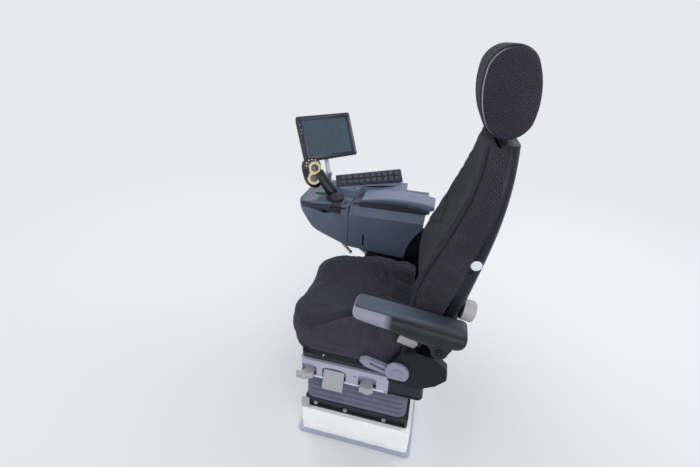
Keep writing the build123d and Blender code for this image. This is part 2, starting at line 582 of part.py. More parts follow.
# Backrest frame: recliner arms outside the pan's ears, a cross-member under the shell, and pins
PIN_TAIL, CROSS_BACK, ARM_PIN_END = 3.0, 4.0, 36.0
arm_plate_x = PAN_W / 2 + ARM_PLATE_GAP
arm_y, arm_z = recline_y + ARM_PIVOT_DY, recline_z + ARM_PIVOT_DZ
back_cover_x = arm_plate_x + ARM_PLATE_T + SEAT_GAP
arm_inner_x = back_cover_x + BACK_COVER_T + ARM_GAP
with BuildPart() as back_frame:
    for side in (-1, 1):
        with BuildSketch(Plane.YZ.offset(side * arm_plate_x)):
            with Locations((recline_y, recline_z)):
                Circle(ARM_PLATE_R)
            with Locations((arm_y, arm_z)):
                Circle(ARM_PLATE_END_R)
            with BuildLine():
                Polyline(
                    (recline_y - ARM_PLATE_R, recline_z + 4), (recline_y + ARM_PLATE_R, recline_z - 4),
                    (arm_y + ARM_PLATE_END_R, arm_z - 4), (arm_y - ARM_PLATE_END_R, arm_z + 4), close=True,
                )
            make_face()
        extrude(amount=side * ARM_PLATE_T)
        with BuildSketch(Plane.YZ.offset(side * (PAN_W / 2 - EAR_T - PIN_TAIL))):
            with Locations((recline_y, recline_z)):
                Circle(RECLINE_PIN_R)
        extrude(amount=side * (EAR_T + PIN_TAIL + ARM_PLATE_GAP))
    with BuildSketch(Plane.XY.offset(STATIONS[0][0] - SEAT_GAP)):
        with Locations((0, STATIONS[0][3] + CROSS_BACK + CROSS_D / 2)):
            Rectangle(2 * arm_plate_x, CROSS_D)
    extrude(amount=-CROSS_H)
    with BuildSketch(Plane.YZ.offset(arm_plate_x + ARM_PLATE_T)):
        with Locations((arm_y, arm_z)):
            Circle(ARM_PIN_R)
    extrude(amount=arm_inner_x + ARM_PIN_END - arm_plate_x - ARM_PLATE_T)
finish(back_frame.part, "back_frame")

# Black covers on the recliner arms; the left one reaches forward to carry the light tab
COVER_TOP_R, COVER_TONGUE, COVER_TONGUE_H = 28.0, 62.0, 14.0
TAB_Z, TONGUE_TOP = 128.0, 8.0
for side, label in ((1, "back_cover_left"), (-1, "back_cover_right")):
    with BuildPart() as back_cover:
        with BuildSketch(Plane.YZ.offset(side * back_cover_x)):
            with Locations((recline_y, recline_z)):
                Circle(BACK_COVER_R)
            with Locations((arm_y, arm_z)):
                Circle(COVER_TOP_R)
            with BuildLine():
                Polyline(
                    (recline_y - BACK_COVER_R, recline_z), (recline_y + BACK_COVER_R, recline_z),
                    (arm_y + COVER_TOP_R, arm_z), (arm_y - COVER_TOP_R, arm_z), close=True,
                )
            make_face()
            if side > 0:
                with Locations((recline_y - COVER_TONGUE / 2 + 10, recline_z + TAB_Z)):
                    Rectangle(COVER_TONGUE, COVER_TONGUE_H)
                with Locations((arm_y, arm_z)):
                    Circle(ARM_PIN_R + PIN_GAP, mode=Mode.SUBTRACT)
        extrude(amount=side * BACK_COVER_T)
    finish(back_cover.part, label)

TAB_T, TAB_R = 9.0, 4.0
TAB_OUTLINE = (
    # y, z from the recline axis
    (-80.0, 124.0), (-70.0, 146.0), (-34.0, 150.0), (-20.0, 128.0), (-30.0, 112.0),
)
with BuildPart() as side_tab:
    with BuildSketch(Plane.YZ.offset(back_cover_x + BACK_COVER_T + SEAT_GAP)):
        with BuildLine():
            FilletPolyline(
                *[(recline_y + dy, recline_z + dz) for dy, dz in TAB_OUTLINE], close=True, radius=TAB_R,
            )
        make_face()
    extrude(amount=TAB_T)
    chamfer(side_tab.edges().group_by(Axis.X)[-1], 2)
finish(side_tab.part, "side_tab")

# Light knob at the shell's rear left corner
with BuildPart() as lumbar_knob:
    with BuildSketch(knob_plane):
        Circle(KNOB_R)
    extrude(amount=KNOB_T)
    fillet(lumbar_knob.edges().group_by(Axis.Y)[-1], KNOB_EDGE_R)
    with BuildSketch(knob_plane):
        Circle(KNOB_SHAFT_R)
    extrude(amount=-KNOB_SHAFT_LEN)
finish(lumbar_knob.part, "lumbar_knob")

# Headrest: an oval pad on two posts
head_y, head_z = recline_y + HEAD_Y, recline_z + HEAD_RAISE
head_front, head_rear = head_y - HEAD_D / 2, head_y + HEAD_D / 2
head_low, head_high = head_z - HEAD_H / 2, head_z + HEAD_H / 2
HEAD_CORNER_Z, HEAD_CORNER_Y, HEAD_CORNER_R = 40.0, 15.0, 30.0
with BuildPart() as headrest_pad:
    with BuildSketch(Plane.YZ.offset(-HEAD_W / 2)):
        with BuildLine():
            near_y, far_y = head_front + HEAD_CORNER_Y, head_rear - HEAD_CORNER_Y
            low_z, high_z = head_low + HEAD_CORNER_Z, head_high - HEAD_CORNER_Z
            ThreePointArc((near_y, low_z), (head_front, head_z), (near_y, high_z))
            ThreePointArc((near_y, high_z), (head_y, head_high), (far_y, high_z))
            ThreePointArc((far_y, high_z), (head_rear, head_z), (far_y, low_z))
            ThreePointArc((far_y, low_z), (head_y, head_low), (near_y, low_z))
        make_face()
    extrude(amount=HEAD_W)
    fillet(headrest_pad.edges().filter_by(Axis.X), HEAD_CORNER_R)
    fillet(headrest_pad.edges().group_by(Axis.X)[0] + headrest_pad.edges().group_by(Axis.X)[-1], HEAD_EDGE_R)
    with BuildSketch(Plane.XY.offset(head_low + HEAD_POST_DEPTH)):
        with Locations((-HEAD_POST_X, head_post_y), (HEAD_POST_X, head_post_y)):
            Circle(HEAD_POST_R + SEAT_GAP)
    extrude(amount=-2 * HEAD_POST_DEPTH, mode=Mode.SUBTRACT)
finish(headrest_pad.part, "headrest_pad")

with BuildPart() as headrest_posts:
    with BuildSketch(Plane.XY.offset(head_low + HEAD_POST_DEPTH - SEAT_GAP)):
        with Locations((-HEAD_POST_X, head_post_y), (HEAD_POST_X, head_post_y)):
            Circle(HEAD_POST_R)
    extrude(amount=-HEAD_POST_LEN)
finish(headrest_posts.part, "headrest_posts")


def arm_top(y):
    """Height of the armrest's top at y: it falls towards the rear."""
    return arm_top_z - ARM_FALL * (y - arm_front)


# Armrest pad: a soft block with a rounded nose
PAD_R, PAD_EDGE_R, ARM_PAD_OVERHANG = 17.0, 12.0, 8.0
arm_front, arm_top_z = arm_y - ARM_REACH, arm_z + ARM_RAISE
arm_rear = arm_front + ARM_LEN
pad_x = arm_inner_x - ARM_PAD_OVERHANG
with BuildPart() as armrest_pad:
    with BuildSketch(Plane.YZ.offset(pad_x)):
        with BuildLine():
            FilletPolyline(
                (arm_front, arm_top(arm_front)), (arm_rear, arm_top(arm_rear)),
                (arm_rear, arm_top(arm_rear) - ARM_PAD_H), (arm_front, arm_top(arm_front) - ARM_PAD_H),
                close=True, radius=PAD_R,
            )
        make_face()
    extrude(amount=ARM_W)
    fillet(armrest_pad.edges().group_by(Axis.X)[0] + armrest_pad.edges().group_by(Axis.X)[-1], PAD_EDGE_R)
finish(armrest_pad.part, "armrest_pad")

# Armrest arm: the moulding under the pad, deeper towards its pivot, with a round cap over the pin
ARM_NOSE, ARM_TAIL, ARM_BELLY_Y, ARM_BELLY_Z, ARM_SHOULDER_Y, ARM_SHOULDER_Z = 22.0, 14.0, -52.0, 35.0, -118.0, 50.0
ARM_SIDE = 6.0
CAP_R, CAP_T = 12.0, 4.0
arm_outer_x = pad_x + ARM_W - ARM_SIDE
with BuildPart() as armrest_arm:
    with BuildSketch(Plane.YZ.offset(arm_inner_x)):
        with BuildLine():
            under = ARM_PAD_H + SEAT_GAP
            nose, tail = arm_front + ARM_NOSE, arm_rear - ARM_TAIL
            a = Line((nose, arm_top(nose) - under), (tail, arm_top(tail) - under))
            b = Line(a @ 1, (arm_y + ARM_BOSS_R, arm_z))
            c = ThreePointArc(b @ 1, (arm_y, arm_z - ARM_BOSS_R), (arm_y - ARM_BOSS_R, arm_z))
            d = ThreePointArc(
                c @ 1, (arm_y + ARM_BELLY_Y, arm_z + ARM_BELLY_Z), (arm_y + ARM_SHOULDER_Y, arm_z + ARM_SHOULDER_Z)
            )
            Line(d @ 1, a @ 0)
        make_face()
    extrude(amount=arm_outer_x - arm_inner_x)
    with BuildSketch(Plane.YZ.offset(arm_inner_x)):
        with Locations((arm_y, arm_z)):
            Circle(ARM_PIN_R + PIN_GAP)
    extrude(amount=ARM_PIN_END + SEAT_GAP, mode=Mode.SUBTRACT)
    with BuildSketch(Plane.YZ.offset(arm_outer_x)):
        with Locations((arm_y, arm_z)):
            Circle(CAP_R)
            Circle(CAP_R - 3, mode=Mode.SUBTRACT)
            Circle(CAP_R - 6)
    extrude(amount=CAP_T)
finish(armrest_arm.part, "armrest_arm")

# Console: main moulding, open below, with a slanted facet along its near side and the arch that clears
# the backrest
console_x = -(PAN_W / 2 + CONSOLE_GAP)
console_far, console_mid = console_x - CONSOLE_W, console_x - CONSOLE_W / 2
console_z = z_pan + CONSOLE_RAISE
facet_z, body_z, nose_z = console_z + FACET_H, console_z + BODY_H, console_z + NOSE_H
FOOT_RISE, ARCH_Y, ARCH_BULGE_Y, ARCH_BULGE_Z, ARCH_TOP_Y, ARCH_TOP_Z = 17.0, 80.0, 98.0, 79.0, 146.0, 151.0
FLOOR_INSET, FLOOR_LEN, FLOOR_Y, FLOOR_H = 25.0, 220.0, -50.0, 41.0
SLOT_Y, SLOTS, SLOT_W = -108.0, ((67.0, 42.0), (38.0, 14.0)), 9.0
SPACER_SIDE, SPACER_H = 15.0, 100.0
POCKET_Y, POCKET_LEN, POCKET_DX, POCKET_W, POCKET_DEPTH = -157.0, 28.0, 52.0, 44.0, 11.0


def console_profile(top):
    """Side outline of the console's main moulding, up to top."""
    with BuildLine() as outline:
        Polyline(
            (CONSOLE_REAR_Y, top), (SPLIT_Y, top), (SPLIT_Y, console_z + FOOT_RISE), (ARCH_Y, console_z)
        )
        ThreePointArc(
            (ARCH_Y, console_z), (ARCH_BULGE_Y, console_z + ARCH_BULGE_Z), (ARCH_TOP_Y, console_z + ARCH_TOP_Z)
        )
        Line((ARCH_TOP_Y, console_z + ARCH_TOP_Z), (CONSOLE_REAR_Y, top))
    return outline.line


with BuildPart() as console_body:
    with BuildSketch(Plane.YZ.offset(console_x)):
        with BuildLine():
            add(console_profile(body_z))
        make_face()
    extrude(amount=-CONSOLE_W)
    with BuildSketch(Plane.YZ.offset(console_x - CONSOLE_T)):
        with BuildLine():
            add(console_profile(facet_z))
        make_face()
        offset(amount=-CONSOLE_T, mode=Mode.REPLACE)
    extrude(amount=-(CONSOLE_W - 2 * CONSOLE_T), mode=Mode.SUBTRACT)
    with BuildSketch(Plane.XZ.offset(-CONSOLE_REAR_Y)):
        with BuildLine():
            Polyline((console_x, facet_z), (console_x, body_z), (console_x - FACET_W, body_z), close=True)
        make_face()
    extrude(amount=CONSOLE_REAR_Y - SPLIT_Y, mode=Mode.SUBTRACT)
    with BuildSketch(Plane.XY.offset(console_z + FLOOR_H)):
        with Locations((console_mid, FLOOR_Y)):
            Rectangle(CONSOLE_W - 2 * FLOOR_INSET, FLOOR_LEN)
    extrude(amount=-2 * FLOOR_H, mode=Mode.SUBTRACT)
    with BuildSketch(Plane.YZ.offset(console_x)):
        for slot_z, slot_h in SLOTS:
            with Locations((SLOT_Y, console_z + slot_z)):
                SlotOverall(slot_h, SLOT_W, rotation=90)
    extrude(amount=-CONSOLE_T, mode=Mode.SUBTRACT)
    with BuildSketch(Plane.XY.offset(body_z)):
        with Locations((console_x - POCKET_DX, POCKET_Y)):
            Rectangle(POCKET_W, POCKET_LEN)
    extrude(amount=-POCKET_DEPTH, mode=Mode.SUBTRACT)
    with BuildSketch(Plane.XZ.offset(-SPLIT_Y)):
        with Locations((console_mid, (facet_z + console_z + FOOT_RISE) / 2)):
            Rectangle(CONSOLE_W - 2 * SPACER_SIDE, SPACER_H)
    extrude(amount=CONSOLE_SEAM - SEAT_GAP)
finish(console_body.part, "console_body")

# Console nose: rounded in plan, swept up below, with a groove under its top plate, a wedge-shaped scoop
# in its near side and a notch for the joystick's pod
NOSE_R, NOSE_FACE_Y, NOSE_CHIN = 52.0, 8.0, 24.0
CHIN_POINTS = ((22.0, 123.0), (86.0, 69.0))
GROOVE_DROP, GROOVE_H, GROOVE_DEPTH = 8.0, 10.0, 12.0
SCOOP = ((4.0, 18.0), (100.0, 46.0), (144.0, 40.0), (144.0, 8.0), (4.0, 8.0))
SCOOP_DEPTH = 15.0
POD_Y, POD_LEN, POD_W, POD_H, POD_RIBS = -237.0, 46.0, 44.0, 42.0, 3
TRAY_Y, TRAY_LEN, TRAY_DX, TRAY_W, TRAY_DEPTH = -197.0, 24.0, 36.0, 56.0, 12.0
NOSE_CEILING = 44.0
nose_rear = SPLIT_Y - CONSOLE_SEAM
foot_z = console_z + FOOT_RISE
with BuildPart() as console_nose:
    with BuildSketch(Plane.YZ.offset(console_x)):
        with BuildLine():
            a = Polyline(
                (nose_rear, foot_z), (nose_rear, nose_z), (NOSE_FRONT_Y + NOSE_FACE_Y, nose_z),
                (NOSE_FRONT_Y, nose_z - NOSE_CHIN),
            )
            b = ThreePointArc(
                a @ 1, (NOSE_FRONT_Y + CHIN_POINTS[0][0], console_z + CHIN_POINTS[0][1]),
                (NOSE_FRONT_Y + CHIN_POINTS[1][0], console_z + CHIN_POINTS[1][1]),
            )
            Line(b @ 1, (nose_rear, foot_z))
        make_face()
    extrude(amount=-CONSOLE_W)
    with BuildSketch(Plane.XY.offset(console_z)):
        with BuildLine():
            FilletPolyline(
                (console_x, nose_rear), (console_x, NOSE_FRONT_Y), (console_far, NOSE_FRONT_Y),
                (console_far, nose_rear), radius=NOSE_R,
            )
            Line((console_far, nose_rear), (console_x, nose_rear))
        make_face()
    extrude(amount=NOSE_H, mode=Mode.INTERSECT)
    with BuildSketch(Plane.YZ.offset(console_x - CONSOLE_T)):
        with BuildLine():
            front_wall = NOSE_FRONT_Y + NOSE_CEILING
            Polyline(
                (nose_rear - CONSOLE_T, foot_z + 14), (nose_rear - CONSOLE_T, nose_z - NOSE_CEILING),
                (front_wall, nose_z - NOSE_CEILING), (front_wall, console_z + CHIN_POINTS[0][1] + 20),
                (front_wall + 50, console_z + CHIN_POINTS[1][1] + 14), close=True,
            )
        make_face()
    extrude(amount=-(CONSOLE_W - 2 * CONSOLE_T), mode=Mode.SUBTRACT)
    with BuildSketch(Plane.XY.offset(foot_z + FLOOR_H)):
        with Locations((console_mid, nose_rear - FLOOR_INSET - SPACER_H / 4)):
            Rectangle(CONSOLE_W - 2 * FLOOR_INSET, SPACER_H / 2)
    extrude(amount=-2 * FLOOR_H, mode=Mode.SUBTRACT)
    with BuildSketch(Plane.XY.offset(nose_z - GROOVE_DROP)):
        with BuildLine():
            FilletPolyline(
                (console_x, nose_rear), (console_x, NOSE_FRONT_Y), (console_far, NOSE_FRONT_Y),
                (console_far, nose_rear), radius=NOSE_R,
            )
            Line((console_far, nose_rear), (console_x, nose_rear))
        make_face()
        with BuildLine():
            FilletPolyline(
                (console_x - GROOVE_DEPTH, nose_rear), (console_x - GROOVE_DEPTH, NOSE_FRONT_Y + GROOVE_DEPTH),
                (console_far + GROOVE_DEPTH, NOSE_FRONT_Y + GROOVE_DEPTH),
                (console_far + GROOVE_DEPTH, nose_rear), radius=NOSE_R - GROOVE_DEPTH,
            )
            Line((console_far + GROOVE_DEPTH, nose_rear), (console_x - GROOVE_DEPTH, nose_rear))
        make_face(mode=Mode.SUBTRACT)
    extrude(amount=-GROOVE_H, mode=Mode.SUBTRACT)
    with BuildSketch(Plane.YZ.offset(console_x)):
        with BuildLine():
            Polyline(*[(NOSE_FRONT_Y + along, nose_z - drop) for along, drop in SCOOP], close=True)
        make_face()
    extrude(amount=-SCOOP_DEPTH, mode=Mode.SUBTRACT)
    with BuildSketch(Plane.XY.offset(nose_z)):
        with Locations((console_x - POD_W / 2, POD_Y)):
            Rectangle(POD_W, POD_LEN)
    extrude(amount=-POD_H, mode=Mode.SUBTRACT)
    with BuildSketch(Plane.XY.offset(nose_z)):
        with Locations((console_x - TRAY_DX, TRAY_Y)):
            Rectangle(TRAY_W, TRAY_LEN)
    extrude(amount=-TRAY_DEPTH, mode=Mode.SUBTRACT)
finish(console_nose.part, "console_nose")

# Black ribbed pod in the nose's notch, under the joystick
POD_RIB_DEPTH, POD_BULGE = 7.0, 3.0
rib_h = POD_H / (2 * POD_RIBS)
with BuildPart() as joystick_pod:
    with BuildSketch(Plane.XY.offset(nose_z - POD_H + SEAT_GAP)):
        with Locations((console_x - POD_W / 2 + (POD_BULGE + SEAT_GAP) / 2, POD_Y)):
            Rectangle(POD_W - SEAT_GAP + POD_BULGE, POD_LEN - 2 * SEAT_GAP)
    extrude(amount=POD_H - SEAT_GAP)
    for rib in range(POD_RIBS):
        with BuildSketch(Plane.XY.offset(nose_z - (2 * rib + 1) * rib_h)):
            with Locations((console_x + POD_BULGE, POD_Y)):
                Rectangle(2 * POD_RIB_DEPTH, POD_LEN)
        extrude(amount=-rib_h, mode=Mode.SUBTRACT)
finish(joystick_pod.part, "joystick_pod")

# Dark curved band and padded lid on the console
BAND_DX, BAND_W, BAND_FRONT_Y, BAND_REAR_Y = 30.0, 20.0, -140.0, 166.0
BAND_LIFTS = (18.0, 32.0, 7.0)
LID_GAP, LID_W, LID_FRONT_Y, LID_REAR_Y = 2.0, 112.0, -132.0, 183.0
LID_LIFTS, LID_LIP, LID_EDGE_R = (27.0, 46.0, 32.0), 16.0, 8.0
seat_z = body_z + SEAT_GAP
with BuildPart() as console_band:
    with BuildSketch(Plane.YZ.offset(console_x - BAND_DX)):
        with BuildLine():
            a = ThreePointArc(
                (BAND_FRONT_Y, body_z + BAND_LIFTS[0]), (0, body_z + BAND_LIFTS[1]),
                (BAND_REAR_Y, body_z + BAND_LIFTS[2]),
            )
            Polyline(a @ 1, (CONSOLE_REAR_Y, seat_z), (BAND_FRONT_Y, seat_z), a @ 0)
        make_face()
    extrude(amount=-BAND_W)
finish(console_band.part, "console_band")

lid_x = console_x - BAND_DX - BAND_W - LID_GAP
with BuildPart() as console_lid:
    with BuildSketch(Plane.YZ.offset(lid_x)):
        with BuildLine():
            a = ThreePointArc(
                (LID_FRONT_Y, body_z + LID_LIFTS[0]), (0, body_z + LID_LIFTS[1]), (LID_REAR_Y, body_z + LID_LIFTS[2])
            )
            Polyline(
                a @ 1, (LID_REAR_Y, seat_z + LID_LIP), (CONSOLE_REAR_Y, seat_z), (LID_FRONT_Y, seat_z), a @ 0
            )
        make_face()
    extrude(amount=-LID_W)
    fillet(console_lid.edges().filter_by(GeomType.CIRCLE), LID_EDGE_R)
finish(console_lid.part, "console_lid")

# Switch panel beside the lid, under a keypad that widens towards the rear and slopes to the driver
PANEL_H, PANEL_R = 32.0, 8.0
PANEL_OUTLINE = (
    # distance from the console's near side, y, clockwise from the front
    (116.0, -236.0), (158.0, -292.0), (290.0, -10.0), (290.0, 44.0), (168.0, 44.0), (168.0, -154.0),
    (116.0, -176.0),
)
KEYPAD_LEN, KEYPAD_NEAR, KEYPAD_FRONT, KEYPAD_REAR, KEYPAD_T = 296.0, 22.0, 24.0, 54.0, 6.0
KEYPAD_TURN, KEYPAD_SLOPE = radians(23.5), radians(38.0)
KEYPAD_DX, KEYPAD_Y, KEYPAD_RAISE, KEYPAD_R = 208.0, -126.0, 51.0, 5.0
LENS_DX, LENS_Y, LENS_TURN, LENS_W, LENS_LEN, LENS_DEPTH = 180.0, -84.0, 19.5, 9.0, 80.0, 7.0
DIMPLE_DX, DIMPLE_Y, DIMPLE_W, DIMPLE_LEN = 136.0, -190.0, 9.0, 26.0
keypad_plane = Plane(
    origin=(console_x - KEYPAD_DX, KEYPAD_Y, nose_z + KEYPAD_RAISE),
    x_dir=(-sin(KEYPAD_TURN), cos(KEYPAD_TURN), 0),
    z_dir=(cos(KEYPAD_TURN) * sin(KEYPAD_SLOPE), sin(KEYPAD_TURN) * sin(KEYPAD_SLOPE), cos(KEYPAD_SLOPE)),
)
keypad_corners = (
    (-KEYPAD_LEN / 2, -KEYPAD_NEAR), (KEYPAD_LEN / 2, -KEYPAD_NEAR), (KEYPAD_LEN / 2, KEYPAD_REAR),
    (-KEYPAD_LEN / 2, KEYPAD_FRONT),
)
panel_points = [(console_x - dx, y) for dx, y in PANEL_OUTLINE]
with BuildPart() as switch_panel:
    with BuildSketch(keypad_plane.offset(-KEYPAD_T - SEAT_GAP)) as wedge:
        with BuildLine():
            FilletPolyline(*keypad_corners, close=True, radius=KEYPAD_R)
        make_face()
    extrude(amount=2 * KEYPAD_RAISE, dir=(0, 0, -1))
    with BuildSketch(Plane.XY.offset(nose_z)):
        with Locations((console_mid, KEYPAD_Y)):
            Rectangle(2 * CONSOLE_W, 2 * KEYPAD_LEN)
    extrude(amount=-4 * KEYPAD_RAISE, mode=Mode.SUBTRACT)
    with BuildSketch(Plane.XY.offset(nose_z)):
        with BuildLine():
            FilletPolyline(*panel_points, close=True, radius=PANEL_R)
        make_face()
    extrude(amount=PANEL_H)
    with BuildSketch(Plane.XY.offset(body_z)):
        with BuildLine():
            FilletPolyline(*panel_points, close=True, radius=PANEL_R)
        make_face()
        with Locations((console_mid, SPLIT_Y - SPACER_H)):
            Rectangle(CONSOLE_W, 2 * SPACER_H, mode=Mode.SUBTRACT)
    extrude(amount=nose_z - body_z)
    with BuildSketch(Plane.XY.offset(nose_z + PANEL_H)):
        with Locations(Location((console_x - LENS_DX, LENS_Y), LENS_TURN)):
            Ellipse(LENS_W, LENS_LEN)
        with Locations(Location((console_x - DIMPLE_DX, DIMPLE_Y), LENS_TURN)):
            Ellipse(DIMPLE_W, DIMPLE_LEN / 2)
    extrude(amount=-LENS_DEPTH, mode=Mode.SUBTRACT)
finish(switch_panel.part, "switch_panel")

with BuildPart() as keypad:
    with BuildSketch(keypad_plane):
        with BuildLine():
            FilletPolyline(*keypad_corners, close=True, radius=KEYPAD_R)
        make_face()
    extrude(amount=-KEYPAD_T)
finish(keypad.part, "keypad")

KEY_COLUMNS, KEY_PITCH, KEY_W, KEY_EDGE, KEY_H, KEY_GAP = 10, 28.0, 22.0, 5.0, 4.0, 5.0
with BuildPart() as keypad_keys:
    with BuildSketch(keypad_plane.offset(SEAT_GAP)):
        for column in range(KEY_COLUMNS):
            key_x = (column - (KEY_COLUMNS - 1) / 2) * KEY_PITCH
            far_edge = KEYPAD_FRONT + (KEYPAD_REAR - KEYPAD_FRONT) * (key_x - KEY_W / 2 + KEYPAD_LEN / 2) / KEYPAD_LEN
            key_len = (far_edge + KEYPAD_NEAR - 2 * KEY_EDGE - KEY_GAP) / 2
            for row in (0, 1):
                with Locations((key_x, -KEYPAD_NEAR + KEY_EDGE + key_len / 2 + row * (key_len + KEY_GAP))):
                    RectangleRounded(KEY_W, key_len, 3)
    extrude(amount=KEY_H)
finish(keypad_keys.part, "keypad_keys")

# Joystick: boot, leaning stick, grip with its flat face, button pad and buttons
BOOT_R, BOOT_FOOT_R, BOOT_NECK_R, BOOT_RIM_H, BOOT_H = 40.0, 31.0, 19.0, 10.0, 28.0
STICK_R, STICK_RISE, STICK_REACH = 15.0, 116.0, 80.0
joystick_x = console_x - JOYSTICK_DX
stick_foot = Vector(joystick_x, JOYSTICK_Y, nose_z + BOOT_RIM_H)
stick_top = Vector(joystick_x, JOYSTICK_Y - STICK_REACH, nose_z + STICK_RISE)
stick_dir = (stick_top - stick_foot).normalized()
stick_len = (stick_top - stick_foot).length
with BuildPart() as joystick_boot:
    with BuildSketch(Plane.XY.offset(nose_z + BOOT_RIM_H)):
        with Locations((joystick_x, JOYSTICK_Y)):
            Circle(BOOT_FOOT_R)
    with BuildSketch(Plane(origin=stick_foot + stick_dir * BOOT_H, z_dir=stick_dir)):
        Circle(BOOT_NECK_R)
    loft()
    with BuildSketch(Plane.XY.offset(nose_z)):
        with Locations((joystick_x, JOYSTICK_Y)):
            Circle(BOOT_R)
    extrude(amount=BOOT_RIM_H)
    with BuildSketch(Plane(origin=stick_foot + stick_dir * BOOT_H, z_dir=stick_dir)):
        Circle(STICK_R + SEAT_GAP)
    extrude(amount=-BOOT_H / 2, mode=Mode.SUBTRACT)
finish(joystick_boot.part, "joystick_boot")

GRIP_STATIONS = (
    # height over the nose, y, half depth, half width
    (36.0, -352.0, 14.0, 16.0), (56.0, -356.0, 28.0, 30.0), (106.0, -362.0, 35.0, 37.0),
    (160.0, -366.0, 34.0, 36.0), (190.0, -368.0, 18.0, 22.0),
)
GRIP_DX, GRIP_FACE, FACE_RISE, FACE_YAW, FACE_TILT = 6.0, 22.0, 112.0, radians(62.0), radians(26.0)
PAD_W, PAD_H, PAD_T, PAD_ROUND = 48.0, 86.0, 5.0, 22.0
BUTTON_R, BUTTON_H, BUTTON_SPREAD, SWITCH_R, SWITCH_H = 14.0, 4.0, 20.0, 3.5, 3.0
SWITCHES = ((-25.0, 40.0), (-17.0, 50.0), (-6.0, 55.0), (6.0, 55.0), (17.0, 50.0))
face_normal = Vector(sin(FACE_YAW) * cos(FACE_TILT), cos(FACE_YAW) * cos(FACE_TILT), sin(FACE_TILT))
face_right = Vector(-cos(FACE_YAW), sin(FACE_YAW), 0)
face_centre = Vector(joystick_x - GRIP_DX, GRIP_STATIONS[2][1], nose_z + FACE_RISE) + face_normal * GRIP_FACE
face_plane = Plane(origin=face_centre, x_dir=face_right, z_dir=face_normal)
with BuildPart() as joystick_stick:
    with BuildSketch(Plane(origin=stick_foot + stick_dir * (BOOT_H / 2 + SEAT_GAP), z_dir=stick_dir)):
        Circle(STICK_R)
    extrude(amount=stick_len - BOOT_H / 2 - SEAT_GAP)
    with BuildSketch(face_plane.offset(-SEAT_GAP)):
        Rectangle(4 * PAD_H, 4 * PAD_H)
    extrude(amount=stick_len, mode=Mode.SUBTRACT)
finish(joystick_stick.part, "joystick_stick")

with BuildPart() as joystick_grip:
    for rise, grip_y, half_d, half_w in GRIP_STATIONS:
        with BuildSketch(Plane.XY.offset(nose_z + rise)):
            with Locations((joystick_x - GRIP_DX, grip_y)):
                Ellipse(half_w, half_d)
    loft()
    with BuildSketch(Plane(origin=stick_foot, z_dir=stick_dir)):
        Circle(STICK_R + SEAT_GAP)
    extrude(amount=stick_len + SEAT_GAP, mode=Mode.SUBTRACT)
    with BuildSketch(face_plane):
        Rectangle(4 * PAD_H, 4 * PAD_H)
    extrude(amount=2 * GRIP_FACE, mode=Mode.SUBTRACT)
finish(joystick_grip.part, "joystick_grip")

with BuildPart() as grip_pad:
    with BuildSketch(face_plane.offset(SEAT_GAP)):
        with Locations((0, -2 * SWITCH_R)):
            RectangleRounded(PAD_W, PAD_H, PAD_ROUND)
    extrude(amount=PAD_T)
finish(grip_pad.part, "grip_pad")

with BuildPart() as grip_buttons:
    with BuildSketch(face_plane.offset(PAD_T + 2 * SEAT_GAP)):
        with Locations((0, -2 * SWITCH_R - BUTTON_SPREAD), (0, -2 * SWITCH_R + BUTTON_SPREAD)):
            Circle(BUTTON_R)
    extrude(amount=BUTTON_H, taper=20)
finish(grip_buttons.part, "grip_buttons")

with BuildPart() as grip_switches:
    with BuildSketch(face_plane.offset(SEAT_GAP)):
        with Locations(*SWITCHES):
            Circle(SWITCH_R)
    extrude(amount=SWITCH_H)
finish(grip_switches.part, "grip_switches")

GREEN_DX, GREEN_Y, GREEN_W, GREEN_LEN, GREEN_R, GREEN_H = 112.0, -340.0, 30.0, 58.0, 14.0, 9.0
with BuildPart() as green_button:
    with BuildSketch(Plane.XY.offset(nose_z + SEAT_GAP)):
        with Locations((console_x - GREEN_DX, GREEN_Y)):
            RectangleRounded(GREEN_W, GREEN_LEN, GREEN_R)
    extrude(amount=GREEN_H)
    fillet(green_button.edges().group_by(Axis.Z)[-1], GREEN_H / 2)
finish(green_button.part, "green_button")

# Two grey tube levers under the console, each hung from its floor on a stub
TUBE_R, TUBE_DROP, STUB_R, STUB_AT = 7.0, 4.0, 4.0, 0.45
TUBES = (
    # far end and near end, each as its distance from the console's near side, and y
    (52.0, -213.0, -12.0, -158.0),
    (33.0, -124.0, 4.0, -92.0),
)


def console_floor(y):
    """Height of the console's underside at y, ahead of its split or behind it."""
    if y < nose_rear:
        chin_y, chin_z = NOSE_FRONT_Y + CHIN_POINTS[1][0], console_z + CHIN_POINTS[1][1]
        return foot_z + (nose_rear - y) * (chin_z - foot_z) / (nose_rear - chin_y)
    return foot_z - FOOT_RISE * (y - SPLIT_Y) / (ARCH_Y - SPLIT_Y)


with BuildPart() as console_levers:
    for far_dx, far_y, near_dx, near_y in TUBES:
        far_end = Vector(console_x - far_dx, far_y, console_z - TUBE_DROP)
        near_end = Vector(console_x - near_dx, near_y, console_z - TUBE_DROP)
        stub = far_end + (near_end - far_end) * STUB_AT
        with BuildSketch(Plane(origin=far_end, z_dir=near_end - far_end)):
            Circle(TUBE_R)
        extrude(amount=(near_end - far_end).length)
        with BuildSketch(Plane.XY.offset(stub.Z)):
            with Locations((stub.X, stub.Y)):
                Circle(STUB_R)
        extrude(amount=console_floor(stub.Y + STUB_R) - SEAT_GAP - stub.Z)
finish(console_levers.part, "console_levers")

